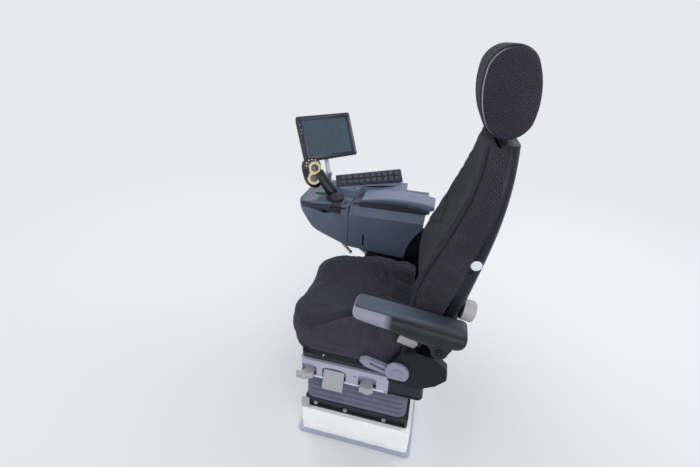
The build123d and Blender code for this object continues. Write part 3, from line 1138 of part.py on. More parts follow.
# Bracket from the seat pan to the console: arm, column and two guide rods
BRACKET_DROP, BRACKET_Y, COLUMN_R = 14.0, -32.0, 10.0
rod_x = console_x - ROD_DX
bracket_z, column_z = z_pan - BRACKET_DROP, console_z - COLUMN_DROP
with BuildPart() as console_bracket:
    with BuildSketch(Plane.XY.offset(bracket_z)):
        with Locations(((rod_x - COLUMN_W / 2 - PAN_W / 2) / 2, BRACKET_Y)):
            Rectangle(abs(rod_x) + COLUMN_W / 2 - PAN_W / 2, COLUMN_D)
    extrude(amount=BRACKET_T)
    with BuildSketch(Plane.XY.offset(bracket_z + BRACKET_T)):
        with Locations((rod_x, BRACKET_Y)):
            RectangleRounded(COLUMN_W, COLUMN_D, COLUMN_R)
            RectangleRounded(
                COLUMN_W - 2 * COLUMN_WALL, COLUMN_D - 2 * COLUMN_WALL, COLUMN_R - COLUMN_WALL, mode=Mode.SUBTRACT
            )
    extrude(amount=column_z - bracket_z - BRACKET_T)
    with BuildSketch(Plane.XY.offset(column_z)):
        with Locations((rod_x, BRACKET_Y)):
            RectangleRounded(COLUMN_W, COLUMN_D, COLUMN_R)
    extrude(amount=-2 * COLUMN_WALL)
    with BuildSketch(Plane.XY.offset(column_z)):
        with Locations(*[(rod_x, rod_y) for rod_y in ROD_YS]):
            Circle(ROD_R)
    extrude(amount=ROD_LEN)
finish(console_bracket.part, "console_bracket")

# Guide block inside the console, running on the rods
GUIDE_RAISE, GUIDE_H, GUIDE_D = 51.0, 36.0, 190.0
with BuildPart() as console_guide:
    with BuildSketch(Plane.XY.offset(console_z + GUIDE_RAISE)):
        with Locations((console_mid, BRACKET_Y)):
            Rectangle(CONSOLE_W - 2 * CONSOLE_T, GUIDE_D)
        with Locations(*[(rod_x, rod_y) for rod_y in ROD_YS]):
            Circle(ROD_R + PIN_GAP, mode=Mode.SUBTRACT)
    extrude(amount=GUIDE_H)
finish(console_guide.part, "console_guide")

# Terminal: its post, swivelling neck, case and screen
POST_FOOT_R, POST_FOOT_H = 20.0, 8.0
post_x, post_top = console_x - POST_DX, nose_z + POST_LEN
with BuildPart() as terminal_post:
    with BuildSketch(Plane.XY.offset(nose_z)):
        with Locations((post_x, POST_Y)):
            Circle(POST_FOOT_R)
    extrude(amount=POST_FOOT_H)
    with BuildSketch(Plane.XY.offset(nose_z)):
        with Locations((post_x, POST_Y)):
            Circle(POST_R)
    extrude(amount=POST_LEN)
finish(terminal_post.part, "terminal_post")

KNUCKLE_DROP, LUG_X, LUG_T, LUG_R, TILT_PIN_R, CASE_R = 16.0, 20.0, 8.0, 13.0, 5.0, 12.0
BEZEL_EDGE = 4.0
yaw, tilt = radians(TERMINAL_YAW), radians(TERMINAL_TILT)
screen_normal = Vector(sin(yaw) * cos(tilt), cos(yaw) * cos(tilt), sin(tilt))
screen_right = Vector(-cos(yaw), sin(yaw), 0)
screen_plane = Plane(
    origin=(console_x - TERMINAL_DX, TERMINAL_Y, console_z + TERMINAL_RAISE), x_dir=screen_right, z_dir=screen_normal
)
with BuildPart() as terminal_case:
    with BuildSketch(screen_plane):
        RectangleRounded(TERMINAL_W, TERMINAL_H, CASE_R)
    extrude(amount=-TERMINAL_T)
    front_face = terminal_case.faces().sort_by(lambda f: (f.center() - screen_plane.origin).dot(screen_normal))[-1]
    chamfer(front_face.edges(), BEZEL_EDGE)
    with BuildSketch(screen_plane):
        Rectangle(SCREEN_W, SCREEN_H)
    extrude(amount=-SCREEN_RECESS, mode=Mode.SUBTRACT)
    for lug in (-1, 1):
        lug_plane = Plane(
            origin=screen_plane.from_local_coords((lug * LUG_X, 0, 0)), x_dir=screen_normal, z_dir=screen_right
        )
        with BuildSketch(lug_plane):
            with Locations((-TERMINAL_T - KNUCKLE_DROP, 0)):
                Circle(LUG_R)
            with Locations((-TERMINAL_T - KNUCKLE_DROP / 2, 0)):
                Rectangle(KNUCKLE_DROP, 2 * LUG_R)
            with Locations((-TERMINAL_T - KNUCKLE_DROP, 0)):
                Circle(TILT_PIN_R + PIN_GAP, mode=Mode.SUBTRACT)
        extrude(amount=lug * LUG_T)
finish(terminal_case.part, "terminal_case")

SCREEN_T = 1.5
with BuildPart() as terminal_screen:
    with BuildSketch(screen_plane.offset(-SCREEN_RECESS)):
        Rectangle(SCREEN_W - 2 * SEAT_GAP, SCREEN_H - 2 * SEAT_GAP)
    extrude(amount=SCREEN_T)
finish(terminal_screen.part, "terminal_screen")

COLLAR_MORE, COLLAR_H, KNUCKLE_R, KNUCKLE_GAP, NECK_R = 3.0, 14.0, 12.0, 1.0, 10.0
knuckle = screen_plane.from_local_coords((0, 0, -TERMINAL_T - KNUCKLE_DROP))
neck_foot = Vector(post_x, POST_Y, post_top + COLLAR_H / 2)
knuckle_half, pin_half = LUG_X - KNUCKLE_GAP, LUG_X + LUG_T
with BuildPart() as terminal_neck:
    with BuildSketch(Plane.XY.offset(post_top + SEAT_GAP)):
        with Locations((post_x, POST_Y)):
            Circle(POST_R + COLLAR_MORE)
    extrude(amount=COLLAR_H)
    with BuildSketch(Plane(origin=knuckle - screen_right * knuckle_half, z_dir=screen_right)):
        Circle(KNUCKLE_R)
    extrude(amount=2 * knuckle_half)
    with BuildSketch(Plane(origin=knuckle - screen_right * pin_half, z_dir=screen_right)):
        Circle(TILT_PIN_R)
    extrude(amount=2 * pin_half)
    with BuildSketch(Plane(origin=neck_foot, z_dir=knuckle - neck_foot)):
        Circle(NECK_R)
    extrude(amount=(knuckle - neck_foot).length - TILT_PIN_R)
finish(terminal_neck.part, "terminal_neck")
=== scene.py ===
import math

import bmesh
import bpy
import numpy as np
from bpy.props import FloatProperty, FloatVectorProperty, IntProperty, PointerProperty
from mathutils import Matrix, Vector


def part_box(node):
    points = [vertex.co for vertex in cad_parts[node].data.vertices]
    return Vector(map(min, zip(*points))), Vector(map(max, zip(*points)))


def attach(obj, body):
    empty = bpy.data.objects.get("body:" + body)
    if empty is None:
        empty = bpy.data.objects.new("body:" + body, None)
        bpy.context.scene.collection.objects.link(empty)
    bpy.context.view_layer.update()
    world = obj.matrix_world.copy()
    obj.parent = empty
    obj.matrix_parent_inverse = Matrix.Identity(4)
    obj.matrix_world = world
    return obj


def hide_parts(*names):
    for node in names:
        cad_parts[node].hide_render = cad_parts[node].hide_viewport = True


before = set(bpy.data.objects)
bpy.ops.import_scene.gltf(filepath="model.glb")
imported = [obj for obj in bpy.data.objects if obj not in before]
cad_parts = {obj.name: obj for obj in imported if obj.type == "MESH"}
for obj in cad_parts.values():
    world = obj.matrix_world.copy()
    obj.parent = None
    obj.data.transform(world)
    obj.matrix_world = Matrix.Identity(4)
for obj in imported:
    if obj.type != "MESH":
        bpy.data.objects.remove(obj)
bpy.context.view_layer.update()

bl_info = {
    "name": "Cab Seat Looks",
    "version": (1, 0, 0),
    "blender": (4, 5, 0),
    "location": "View3D > Sidebar > Cab Seat",
    "description": "Upholstery, mouldings and finishes of an operator's seat with its control console",
    "category": "Object",
}


# Properties

def colour(name, description, value):
    """A colour property in scene linear values."""
    return FloatVectorProperty(
        name=name, description=description, default=value, subtype="COLOR", size=3, min=0.0, max=1.0
    )


def length(name, description, value):
    """A length property in metres."""
    return FloatProperty(name=name, description=description, default=value, min=0.0, subtype="DISTANCE")


class SeatColours(bpy.types.PropertyGroup):
    """Colours of the seat's and console's finishes"""

    velour: colour("Velour", "Smooth cloth of the seat's middle panels", (0.021, 0.020, 0.030))
    weave: colour("Weave ground", "Ground of the herringbone cloth", (0.019, 0.017, 0.025))
    weave_light: colour("Weave threads", "Light threads of the herringbone cloth", (0.155, 0.150, 0.195))
    piping: colour("Piping", "Piping round the headrest", (0.20, 0.21, 0.22))
    arm_skin: colour("Armrest skin", "Foam skin of the armrest", (0.056, 0.073, 0.100))
    black: colour("Black moulding", "Covers, shell and joystick", (0.0045, 0.005, 0.008))
    shell: colour("Backrest shell", "Moulded shell behind the backrest", (0.007, 0.009, 0.013))
    dark: colour("Dark moulding", "Keypad, band and housing rear", (0.020, 0.022, 0.036))
    silver: colour("Silver moulding", "Suspension housing", (0.345, 0.350, 0.440))
    light: colour("Light moulding", "Levers, tab and knob", (0.335, 0.325, 0.345))
    hinge: colour("Hinge cover", "Round cover and its lever", (0.225, 0.217, 0.305))
    console: colour("Console moulding", "Slate moulding of the console", (0.070, 0.091, 0.137))
    lid: colour("Console lid", "Soft lid of the console", (0.135, 0.170, 0.250))
    panel: colour("Switch panel", "Panel under the keypad", (0.125, 0.158, 0.225))
    keys: colour("Keys", "Keys of the keypad", (0.022, 0.026, 0.042))
    marks: colour("Key marks", "Small marks on the keys", (0.10, 0.115, 0.155))
    beige: colour("Button pad", "Pad on the joystick's face", (0.62, 0.48, 0.24))
    green: colour("Green button", "Push button on the console", (0.022, 0.125, 0.050))
    bellows: colour("Bellows", "Rubberised cloth of the bellows", (0.078, 0.077, 0.118))
    white: colour("White paint", "Pedestal", (0.84, 0.84, 0.83))
    plate: colour("Plate paint", "Floor plate", (0.32, 0.35, 0.45))
    steel: colour("Black steel", "Frames and bracket", (0.015, 0.015, 0.021))
    zinc: colour("Zinc", "Rails, rods and bolts", (0.46, 0.47, 0.50))
    bezel: colour("Terminal frame", "Frame of the touch terminal", (0.012, 0.013, 0.030))
    screen: colour("Screen", "Switched-off display", (0.033, 0.060, 0.086))


class SeatSizes(bpy.types.PropertyGroup):
    """Sizes of the upholstery"""

    voxel: length("Mesh size", "Edge of the even quads that cloth is blown up from", 0.006)
    inset: length("Inset", "How far a pad starts inside its solid", 0.005)
    cushion_swell: length("Cushion swell", "Most that the seat cushion may swell", 0.016)
    back_swell: length("Back swell", "Most that the backrest may swell", 0.012)
    head_swell: length("Headrest swell", "Most that the headrest may swell", 0.010)
    seam_width: length("Seam width", "Half width of a seam's groove", 0.0042)
    seam_depth: length("Seam depth", "Depth of a seam's groove", 0.0036)
    piping_radius: length("Piping radius", "Radius of the headrest's piping", 0.0024)
    weave_column: length("Weave column", "Width of one herringbone column", 0.0072)
    weave_row: length("Weave row", "Height of one herringbone row", 0.0066)
    fold_depth: length("Fold depth", "Depth of the bellows' folds", 0.019)
    bellows_folds: IntProperty(name="Folds", description="Folds of the bellows", default=5, min=1)


class StageSettings(bpy.types.PropertyGroup):
    """Camera, lamps and floor"""

    eye: FloatVectorProperty(
        name="Camera", description="Place of the camera", subtype="TRANSLATION",
        default=(1.1269, 0.15878, 1.42117),
    )
    forward: FloatVectorProperty(
        name="Sight line", description="Direction in which the camera looks", subtype="DIRECTION",
        default=(-0.85639, -0.19786, -0.47692),
    )
    up: FloatVectorProperty(
        name="Camera up", description="Direction that is up in the picture", subtype="DIRECTION",
        default=(-0.45541, -0.14582, 0.87826),
    )
    focal: FloatProperty(
        name="Focal length", description="Focal length in millimetres", default=18.865, min=1.0
    )
    floor: colour("Floor", "Plain pale floor", (0.62, 0.63, 0.65))
    backdrop: colour("Backdrop", "Background that the camera sees", (0.80, 0.82, 0.85))
    sky: FloatProperty(name="Sky", description="Strength of the even light", default=0.92, min=0.0)
    key: FloatProperty(
        name="Key lamp", description="Power of the key lamp", default=58.0, min=0.0, unit="POWER"
    )
    fill: FloatProperty(
        name="Fill lamps", description="Power of the fill lamp and of the rim lamp", default=46.0, min=0.0,
        unit="POWER",
    )


def looks():
    """The scene's colours."""
    return bpy.context.scene.cab_seat_colours


def sizes():
    """The scene's sizes."""
    return bpy.context.scene.cab_seat_sizes


# Nodes of the finishes

class Finish:
    """A new material and short calls for the nodes that the finishes share."""

    def __init__(self, name, roughness=0.5, **shader_values):
        self.material = bpy.data.materials.new(name)
        self.material.use_nodes = True
        self.tree = self.material.node_tree
        self.shader = self.tree.nodes["Principled BSDF"]
        self.shader.inputs["Roughness"].default_value = roughness
        for socket, value in shader_values.items():
            self.shader.inputs[socket.replace("_", " ")].default_value = value
        self.place = self.node("ShaderNodeTexCoord").outputs["Object"]

    def node(self, kind, **settings):
        made = self.tree.nodes.new(kind)
        for name, value in settings.items():
            setattr(made, name, value)
        return made

    def feed(self, socket, value):
        """Link or set one socket."""
        if isinstance(value, bpy.types.NodeSocket):
            self.tree.links.new(value, socket)
        else:
            socket.default_value = value

    def math(self, operation, a, b=0.0, clamp=False):
        made = self.node("ShaderNodeMath", operation=operation, use_clamp=clamp)
        self.feed(made.inputs[0], a)
        self.feed(made.inputs[1], b)
        return made.outputs[0]

    def noise(self, scale, detail=2.0, rough=0.5, distortion=0.0, at=None):
        made = self.node("ShaderNodeTexNoise")
        self.feed(made.inputs["Vector"], at or self.place)
        made.inputs["Scale"].default_value = scale
        made.inputs["Detail"].default_value = detail
        made.inputs["Roughness"].default_value = rough
        made.inputs["Distortion"].default_value = distortion
        return made.outputs["Fac"]

    def cells(self, scale, at=None):
        made = self.node("ShaderNodeTexVoronoi", feature="SMOOTH_F1")
        self.feed(made.inputs["Vector"], at or self.place)
        made.inputs["Scale"].default_value = scale
        return made.outputs["Distance"]

    def stretch(self, factors, at=None):
        made = self.node("ShaderNodeVectorMath", operation="MULTIPLY")
        self.feed(made.inputs[0], at or self.place)
        made.inputs[1].default_value = factors
        return made.outputs[0]

    def span(self, value, low, high, to_low=0.0, to_high=1.0):
        """Map a value from low..high to to_low..to_high, clamped."""
        made = self.node("ShaderNodeMapRange")
        self.feed(made.inputs["Value"], value)
        for socket, number in zip(("From Min", "From Max", "To Min", "To Max"), (low, high, to_low, to_high)):
            made.inputs[socket].default_value = number
        return made.outputs["Result"]

    def mix(self, share, a, b):
        made = self.node("ShaderNodeMix", data_type="RGBA")
        self.feed(made.inputs["Factor"], share)
        for socket, value in (("A", a), ("B", b)):
            target = [s for s in made.inputs if s.name == socket and s.type == "RGBA"][0]
            self.feed(target, value if isinstance(value, bpy.types.NodeSocket) else (*value, 1.0))
        return [s for s in made.outputs if s.type == "RGBA"][0]

    def bump(self, height, distance, strength=1.0, under=None):
        made = self.node("ShaderNodeBump")
        made.inputs["Strength"].default_value = strength
        made.inputs["Distance"].default_value = distance
        self.feed(made.inputs["Height"], height)
        if under is not None:
            self.feed(made.inputs["Normal"], under)
        return made.outputs["Normal"]

    def edges(self, radius):
        """1 on sharp edges, 0 on flat faces."""
        bevel = self.node("ShaderNodeBevel", samples=4)
        bevel.inputs["Radius"].default_value = radius
        dot = self.node("ShaderNodeVectorMath", operation="DOT_PRODUCT")
        self.feed(dot.inputs[0], bevel.outputs["Normal"])
        self.feed(dot.inputs[1], self.node("ShaderNodeNewGeometry").outputs["Normal"])
        return self.span(dot.outputs["Value"], 0.99, 0.80)

    def upward(self):
        """How far a face looks up, from -1 to 1."""
        parts = self.node("ShaderNodeSeparateXYZ")
        self.feed(parts.inputs[0], self.node("ShaderNodeNewGeometry").outputs["Normal"])
        return parts.outputs["Z"]

    def paint(self, base=None, roughness=None, normal=None):
        for socket, value in (("Base Color", base), ("Roughness", roughness), ("Normal", normal)):
            if value is not None:
                self.feed(self.shader.inputs[socket], value)
        return self.material


def shade(tint, factor):
    """A colour made lighter or darker."""
    return tuple(min(1.0, factor * channel) for channel in tint)


def moulded(name, tint, roughness=0.48, grain=900.0, depth=0.00012, wear=0.35, shine=0.5, dust=0.04):
    """Grained plastic: faint mottle, uneven gloss, scuffed edges and a little dust on top."""
    finish = Finish(name, roughness, Specular_IOR_Level=shine)
    cloudy = finish.noise(14.0, 4.0, 0.6)
    base = finish.mix(cloudy, shade(tint, 0.90), shade(tint, 1.10))
    scuffed = finish.math("MULTIPLY", finish.edges(0.0018), finish.span(finish.noise(160.0, 3.0), 0.42, 0.62))
    worn = tuple(channel + wear * (0.30 - channel) * 0.5 + 0.01 for channel in tint)
    base = finish.mix(finish.math("MULTIPLY", scuffed, wear), base, worn)
    dusty = finish.math("MULTIPLY", finish.span(finish.upward(), 0.55, 1.0), finish.span(cloudy, 0.45, 0.75))
    base = finish.mix(finish.math("MULTIPLY", dusty, dust), base, (0.34, 0.32, 0.29))
    gloss = finish.span(finish.noise(38.0, 5.0, 0.65), 0.3, 0.7, roughness - 0.07, roughness + 0.09)
    height = finish.math("ADD", finish.cells(grain), finish.math("MULTIPLY", finish.noise(grain * 1.7), 0.6))
    return finish.paint(base, gloss, finish.bump(height, depth))


def painted(name, tint, roughness=0.42, dust=0.25, shine=0.5):
    """Powder-coated sheet: orange peel, dust in the low spots and small chips on the edges."""
    finish = Finish(name, roughness, Specular_IOR_Level=shine)
    base = finish.mix(finish.noise(9.0, 4.0), shade(tint, 0.93), shade(tint, 1.05))
    grime = finish.math("MULTIPLY", finish.span(finish.noise(26.0, 6.0, 0.7), 0.45, 0.75), dust)
    base = finish.mix(grime, base, (0.18, 0.18, 0.19))
    chips = finish.math("MULTIPLY", finish.edges(0.0022), finish.span(finish.noise(240.0, 2.0), 0.56, 0.60))
    base = finish.mix(chips, base, shade(tint, 0.45))
    gloss = finish.math("ADD", finish.span(finish.noise(60.0, 4.0), 0.3, 0.7, -0.05, 0.08), roughness)
    return finish.paint(base, gloss, finish.bump(finish.noise(420.0, 2.0), 0.00016, 0.6))


def plated(name, tint, roughness=0.32):
    """Zinc-plated steel with fine drawing lines and a cloudy surface."""
    finish = Finish(name, roughness, Metallic=0.9)
    lines = finish.noise(60.0, 3.0, 0.6, at=finish.stretch((40.0, 1.5, 40.0)))
    base = finish.mix(finish.noise(55.0, 5.0), shade(tint, 0.82), shade(tint, 1.08))
    gloss = finish.span(lines, 0.3, 0.7, roughness - 0.08, roughness + 0.14)
    return finish.paint(base, gloss, finish.bump(lines, 0.00006, 0.5))


def velour(name, tint):
    """Short-pile cloth: strokes in the pile, fibre speckle, and a soft sheen."""
    finish = Finish(name, 0.92, Sheen_Weight=0.10, Sheen_Roughness=0.45, Specular_IOR_Level=0.14)
    finish.shader.inputs["Sheen Tint"].default_value = (0.62, 0.62, 0.70, 1.0)
    strokes = finish.noise(13.0, 5.0, 0.62, 1.4)
    fibres = finish.noise(1500.0, 2.0)
    speckle = finish.noise(420.0, 3.0, 0.7)
    base = finish.mix(finish.span(strokes, 0.32, 0.70), shade(tint, 0.72), shade(tint, 1.22))
    base = finish.mix(finish.span(speckle, 0.50, 0.72, 0.0, 0.38), base, shade(tint, 2.1))
    base = finish.mix(finish.span(fibres, 0.35, 0.60, 0.35, 0.0), base, shade(tint, 0.5))
    height = finish.math("ADD", fibres, finish.math("MULTIPLY", speckle, 1.4))
    return finish.paint(base, None, finish.bump(height, 0.0009, 0.8))


def herringbone(name, ground, light, column, row):
    """Woven cloth with zigzag light threads; the mesh's UVs are in metres."""
    finish = Finish(name, 0.90, Sheen_Weight=0.08, Sheen_Roughness=0.5, Specular_IOR_Level=0.15)
    finish.shader.inputs["Sheen Tint"].default_value = (0.62, 0.62, 0.70, 1.0)
    parts = finish.node("ShaderNodeSeparateXYZ")
    finish.feed(parts.inputs[0], finish.node("ShaderNodeTexCoord").outputs["UV"])
    wander = finish.math("MULTIPLY", finish.math("SUBTRACT", finish.noise(230.0, 2.0), 0.5), row * 0.45)
    slope = finish.math("PINGPONG", parts.outputs["X"], column)
    climb = finish.math("ADD", finish.math("ADD", parts.outputs["Y"], slope), wander)
    phase = finish.math("DIVIDE", climb, row)
    wave = finish.math("SINE", finish.math("MULTIPLY", phase, 2 * math.pi))
    threads = finish.span(wave, 0.35, 0.95)
    yarn = finish.noise(520.0, 3.0, 0.65)
    twist = finish.math("SINE", finish.math("MULTIPLY", parts.outputs["X"], 2 * math.pi / (0.42 * column)))
    dashes = finish.math("MULTIPLY", finish.span(twist, -0.6, 0.5, 0.35, 1.0), finish.span(yarn, 0.36, 0.60))
    broken = finish.math("MULTIPLY", threads, dashes)
    patchy = finish.span(finish.noise(11.0, 4.0, 0.6), 0.3, 0.7, 0.45, 1.0)
    base = finish.mix(finish.noise(700.0, 2.0), shade(ground, 0.75), shade(ground, 1.5))
    base = finish.mix(finish.math("MULTIPLY", broken, patchy), base, light)
    height = finish.math("ADD", finish.math("MULTIPLY", threads, 1.4), yarn)
    return finish.paint(base, None, finish.bump(height, 0.0011, 0.9))


def foam_skin(name, tint, roughness=0.44):
    """Soft moulded skin with a leather grain and hand-polished patches."""
    finish = Finish(name, roughness, Coat_Weight=0.08, Coat_Roughness=0.35)
    grain = finish.cells(520.0, finish.stretch((1.0, 0.8, 1.0)))
    base = finish.mix(finish.noise(10.0, 4.0, 0.6), shade(tint, 0.86), shade(tint, 1.14))
    base = finish.mix(finish.span(grain, 0.10, 0.45, 0.30, 0.0), base, shade(tint, 0.55))
    polished = finish.span(finish.noise(16.0, 3.0), 0.35, 0.65, roughness - 0.10, roughness + 0.10)
    height = finish.math("ADD", grain, finish.math("MULTIPLY", finish.noise(1400.0), 0.3))
    return finish.paint(base, polished, finish.bump(height, 0.00022, 0.8))


def rubber(name, tint, roughness=0.62):
    """Matt rubberised cloth with a fine weave and dust on its ledges."""
    finish = Finish(name, roughness)
    base = finish.mix(finish.noise(17.0, 5.0, 0.65), shade(tint, 0.92), shade(tint, 1.08))
    patches = finish.span(finish.noise(35.0, 4.0), 0.3, 0.7, 0.5, 1.0)
    dusty = finish.math("MULTIPLY", finish.span(finish.upward(), -0.2, 0.8), patches)
    base = finish.mix(finish.math("MULTIPLY", dusty, 0.30), base, shade(tint, 3.2))
    weave = finish.math("ADD", finish.noise(1300.0, 2.0), finish.cells(700.0))
    gloss = finish.span(finish.noise(48.0, 3.0), 0.3, 0.7, roughness - 0.06, roughness + 0.10)
    return finish.paint(base, gloss, finish.bump(weave, 0.00018, 0.7))


def display(name, tint):
    """Dark glass over a switched-off display, with faint finger marks."""
    finish = Finish(name, 0.16, Coat_Weight=0.25, Coat_Roughness=0.06, Specular_IOR_Level=0.35)
    base = finish.mix(finish.noise(3.2, 1.0), shade(tint, 0.80), shade(tint, 1.28))
    marks = finish.span(finish.noise(24.0, 5.0, 0.7, 1.2), 0.52, 0.70)
    base = finish.mix(finish.math("MULTIPLY", marks, 0.10), base, (0.20, 0.22, 0.24))
    return finish.paint(base, finish.span(marks, 0.0, 1.0, 0.12, 0.34))


def glossy(name, tint, roughness=0.18):
    """Polished plastic with faint scratches."""
    finish = Finish(name, roughness, Coat_Weight=0.3, Coat_Roughness=0.12)
    base = finish.mix(finish.noise(30.0, 3.0), shade(tint, 0.85), shade(tint, 1.15))
    scratches = finish.noise(90.0, 4.0, 0.7, at=finish.stretch((1.0, 9.0, 1.0)))
    return finish.paint(base, finish.span(scratches, 0.45, 0.7, roughness, roughness + 0.22))


def dress(node, *materials):
    """Give a CAD node its finishes, one for each of its slots."""
    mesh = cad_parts[node].data
    mesh.materials.clear()
    for material in materials:
        mesh.materials.append(material)
    for polygon in mesh.polygons:
        polygon.material_index = min(polygon.material_index, len(materials) - 1)


# Meshes of the upholstery

def put(name, mesh, body):
    """A new piece that rides on a body."""
    piece = bpy.data.objects.new(name, mesh)
    bpy.context.scene.collection.objects.link(piece)
    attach(piece, body)
    return piece


def points_of(mesh):
    flat = np.empty(3 * len(mesh.vertices))
    mesh.vertices.foreach_get("co", flat)
    return flat.reshape(-1, 3)


def normals_of(mesh):
    flat = np.empty(3 * len(mesh.vertices))
    mesh.vertex_normals.foreach_get("vector", flat)
    return flat.reshape(-1, 3)


def move_points(mesh, points):
    mesh.vertices.foreach_set("co", np.asarray(points, float).ravel())
    mesh.update()


def bake_modifiers(piece):
    """Turn a piece's modifiers into its mesh."""
    graph = bpy.context.evaluated_depsgraph_get()
    mesh = bpy.data.meshes.new_from_object(piece.evaluated_get(graph))
    piece.modifiers.clear()
    piece.data = mesh


def even_copy(node, name, voxel, inset, smooth=6):
    """A copy of a CAD node in even quads, smoothed and drawn in by inset."""
    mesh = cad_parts[node].data.copy()
    mesh.materials.clear()
    piece = bpy.data.objects.new(name, mesh)
    bpy.context.scene.collection.objects.link(piece)
    remesh = piece.modifiers.new("Even quads", "REMESH")
    remesh.mode = "VOXEL"
    remesh.voxel_size = voxel
    soften = piece.modifiers.new("Soften", "SMOOTH")
    soften.factor = 0.5
    soften.iterations = smooth
    bake_modifiers(piece)
    points = points_of(piece.data) - inset * normals_of(piece.data)
    move_points(piece.data, points)
    return piece


def blow_up(piece, held, pressure, cap, frames=20, slack=0.0):
    """Blow a piece up as cloth round the held points, and let no point move more than cap."""
    before = points_of(piece.data)
    group = piece.vertex_groups.new(name="held")
    group.add([int(i) for i in np.nonzero(held)[0]], 1.0, "REPLACE")
    modifier = piece.modifiers.new("Cloth", "CLOTH")
    cloth = modifier.settings
    cloth.quality = 6
    cloth.mass = 0.25
    cloth.tension_stiffness = 18.0
    cloth.compression_stiffness = 12.0
    cloth.bending_stiffness = 1.2
    cloth.shrink_min = -slack
    cloth.use_pressure = True
    cloth.uniform_pressure_force = pressure
    cloth.vertex_group_mass = "held"
    cloth.effector_weights.gravity = 0.0
    modifier.point_cache.frame_start = 1
    modifier.point_cache.frame_end = frames
    scene = bpy.context.scene
    for number in range(1, frames + 1):
        scene.frame_set(number)
    blown = piece.evaluated_get(bpy.context.evaluated_depsgraph_get()).to_mesh()
    move = points_of(blown) - before
    far = np.linalg.norm(move, axis=1, keepdims=True)
    move *= np.minimum(1.0, cap / np.maximum(far, 1e-9))
    piece.modifiers.clear()
    piece.vertex_groups.clear()
    scene.frame_set(1)
    move_points(piece.data, before + move)


def refine(piece, levels=1, smooth=2):
    """Subdivide and smooth once more after a simulation."""
    soften = piece.modifiers.new("Soften", "SMOOTH")
    soften.factor = 0.5
    soften.iterations = smooth
    finer = piece.modifiers.new("Finer", "SUBSURF")
    finer.levels = levels
    finer.render_levels = levels
    bake_modifiers(piece)


def press(piece, distance, width, depth):
    """Press a soft groove where distance is near nought."""
    fall = np.exp(-((distance / width) ** 2))[:, None]
    move_points(piece.data, points_of(piece.data) - depth * fall * normals_of(piece.data))


def raise_welt(piece, distance, offset, width, height):
    """Raise the cloth beside a seam, offset away from it, where it is turned under."""
    fall = np.exp(-(((np.abs(distance) - offset) / width) ** 2))[:, None]
    move_points(piece.data, points_of(piece.data) + height * fall * normals_of(piece.data))


def crease(piece, line, width, depth, up):
    """Press a tapering crease, drawn as a line seen along the axis up, into the side that faces it."""
    points, normals = points_of(piece.data), normals_of(piece.data)
    axis = np.array(up, float)
    flat = points - (points @ axis)[:, None] * axis
    best = np.full(len(points), 1e9)
    along = np.zeros(len(points))
    ends = [np.array(p, float) - (np.array(p, float) @ axis) * axis for p in line]
    for number, (a, b) in enumerate(zip(ends[:-1], ends[1:])):
        run = b - a
        t = np.clip(((flat - a) @ run) / (run @ run), 0, 1)
        gap = np.linalg.norm(flat - (a + t[:, None] * run), axis=1)
        closer = gap < best
        best = np.where(closer, gap, best)
        along = np.where(closer, (number + t) / (len(ends) - 1), along)
    taper = np.sin(np.pi * np.clip(along, 0.02, 0.98)) ** 0.6 * np.clip(3 * (normals @ axis), 0, 1)
    fall = (np.exp(-((best / width) ** 2)) - 0.45 * np.exp(-(((best - 2 * width) / width) ** 2))) * taper
    move_points(piece.data, points - depth * fall[:, None] * axis)


def eased(value, low, high):
    """0 below low, 1 above high, and a smooth rise between them."""
    share = np.clip((value - low) / (high - low), 0.0, 1.0)
    return share * share * (3 - 2 * share)


def soften(piece, weight, iterations):
    """Smooth a mesh where weight, from 0 to 1, is high."""
    group = piece.vertex_groups.new(name="soft")
    steps = np.round(10 * weight).astype(int)
    for level in range(1, 11):
        chosen = np.nonzero(steps == level)[0]
        if len(chosen):
            group.add([int(i) for i in chosen], level / 10, "REPLACE")
    modifier = piece.modifiers.new("Soften", "SMOOTH")
    modifier.factor = 0.5
    modifier.iterations = iterations
    modifier.vertex_group = "soft"
    bake_modifiers(piece)
    piece.vertex_groups.clear()


def reshaped(node, name, body, material, change):
    """A copy of a CAD node with its points moved by change, in the node's place."""
    shape = bmesh.new()
    shape.from_mesh(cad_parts[node].data)
    bmesh.ops.remove_doubles(shape, verts=shape.verts, dist=1e-6)
    mesh = bpy.data.meshes.new(name)
    shape.to_mesh(mesh)
    shape.free()
    move_points(mesh, change(points_of(mesh)))
    mesh.materials.clear()
    mesh.materials.append(material)
    mesh.polygons.foreach_set("material_index", np.zeros(len(mesh.polygons), int))
    mesh.polygons.foreach_set("use_smooth", np.ones(len(mesh.polygons), bool))
    mesh.set_sharp_from_angle(angle=math.radians(32))
    piece = put(name, mesh, body)
    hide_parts(node)
    return piece


def lay_uv(piece, u, v):
    """Write UVs in metres from one value of u and v for each point."""
    layer = piece.data.uv_layers.new(name="Cloth")
    corners = np.empty(len(piece.data.loops), int)
    piece.data.loops.foreach_get("vertex_index", corners)
    layer.data.foreach_set("uv", np.column_stack((u[corners], v[corners])).ravel())


def panels(piece, side, *materials):
    """Give faces the first material, and those whose points lie on the side the second."""
    for material in materials:
        piece.data.materials.append(material)
    start = np.empty(len(piece.data.polygons), int)
    piece.data.polygons.foreach_get("loop_start", start)
    corners = np.empty(len(piece.data.loops), int)
    piece.data.loops.foreach_get("vertex_index", corners)
    piece.data.polygons.foreach_set("material_index", side[corners[start]].astype(int))
    piece.data.polygons.foreach_set("use_smooth", np.ones(len(start), bool))
    piece.data.update()


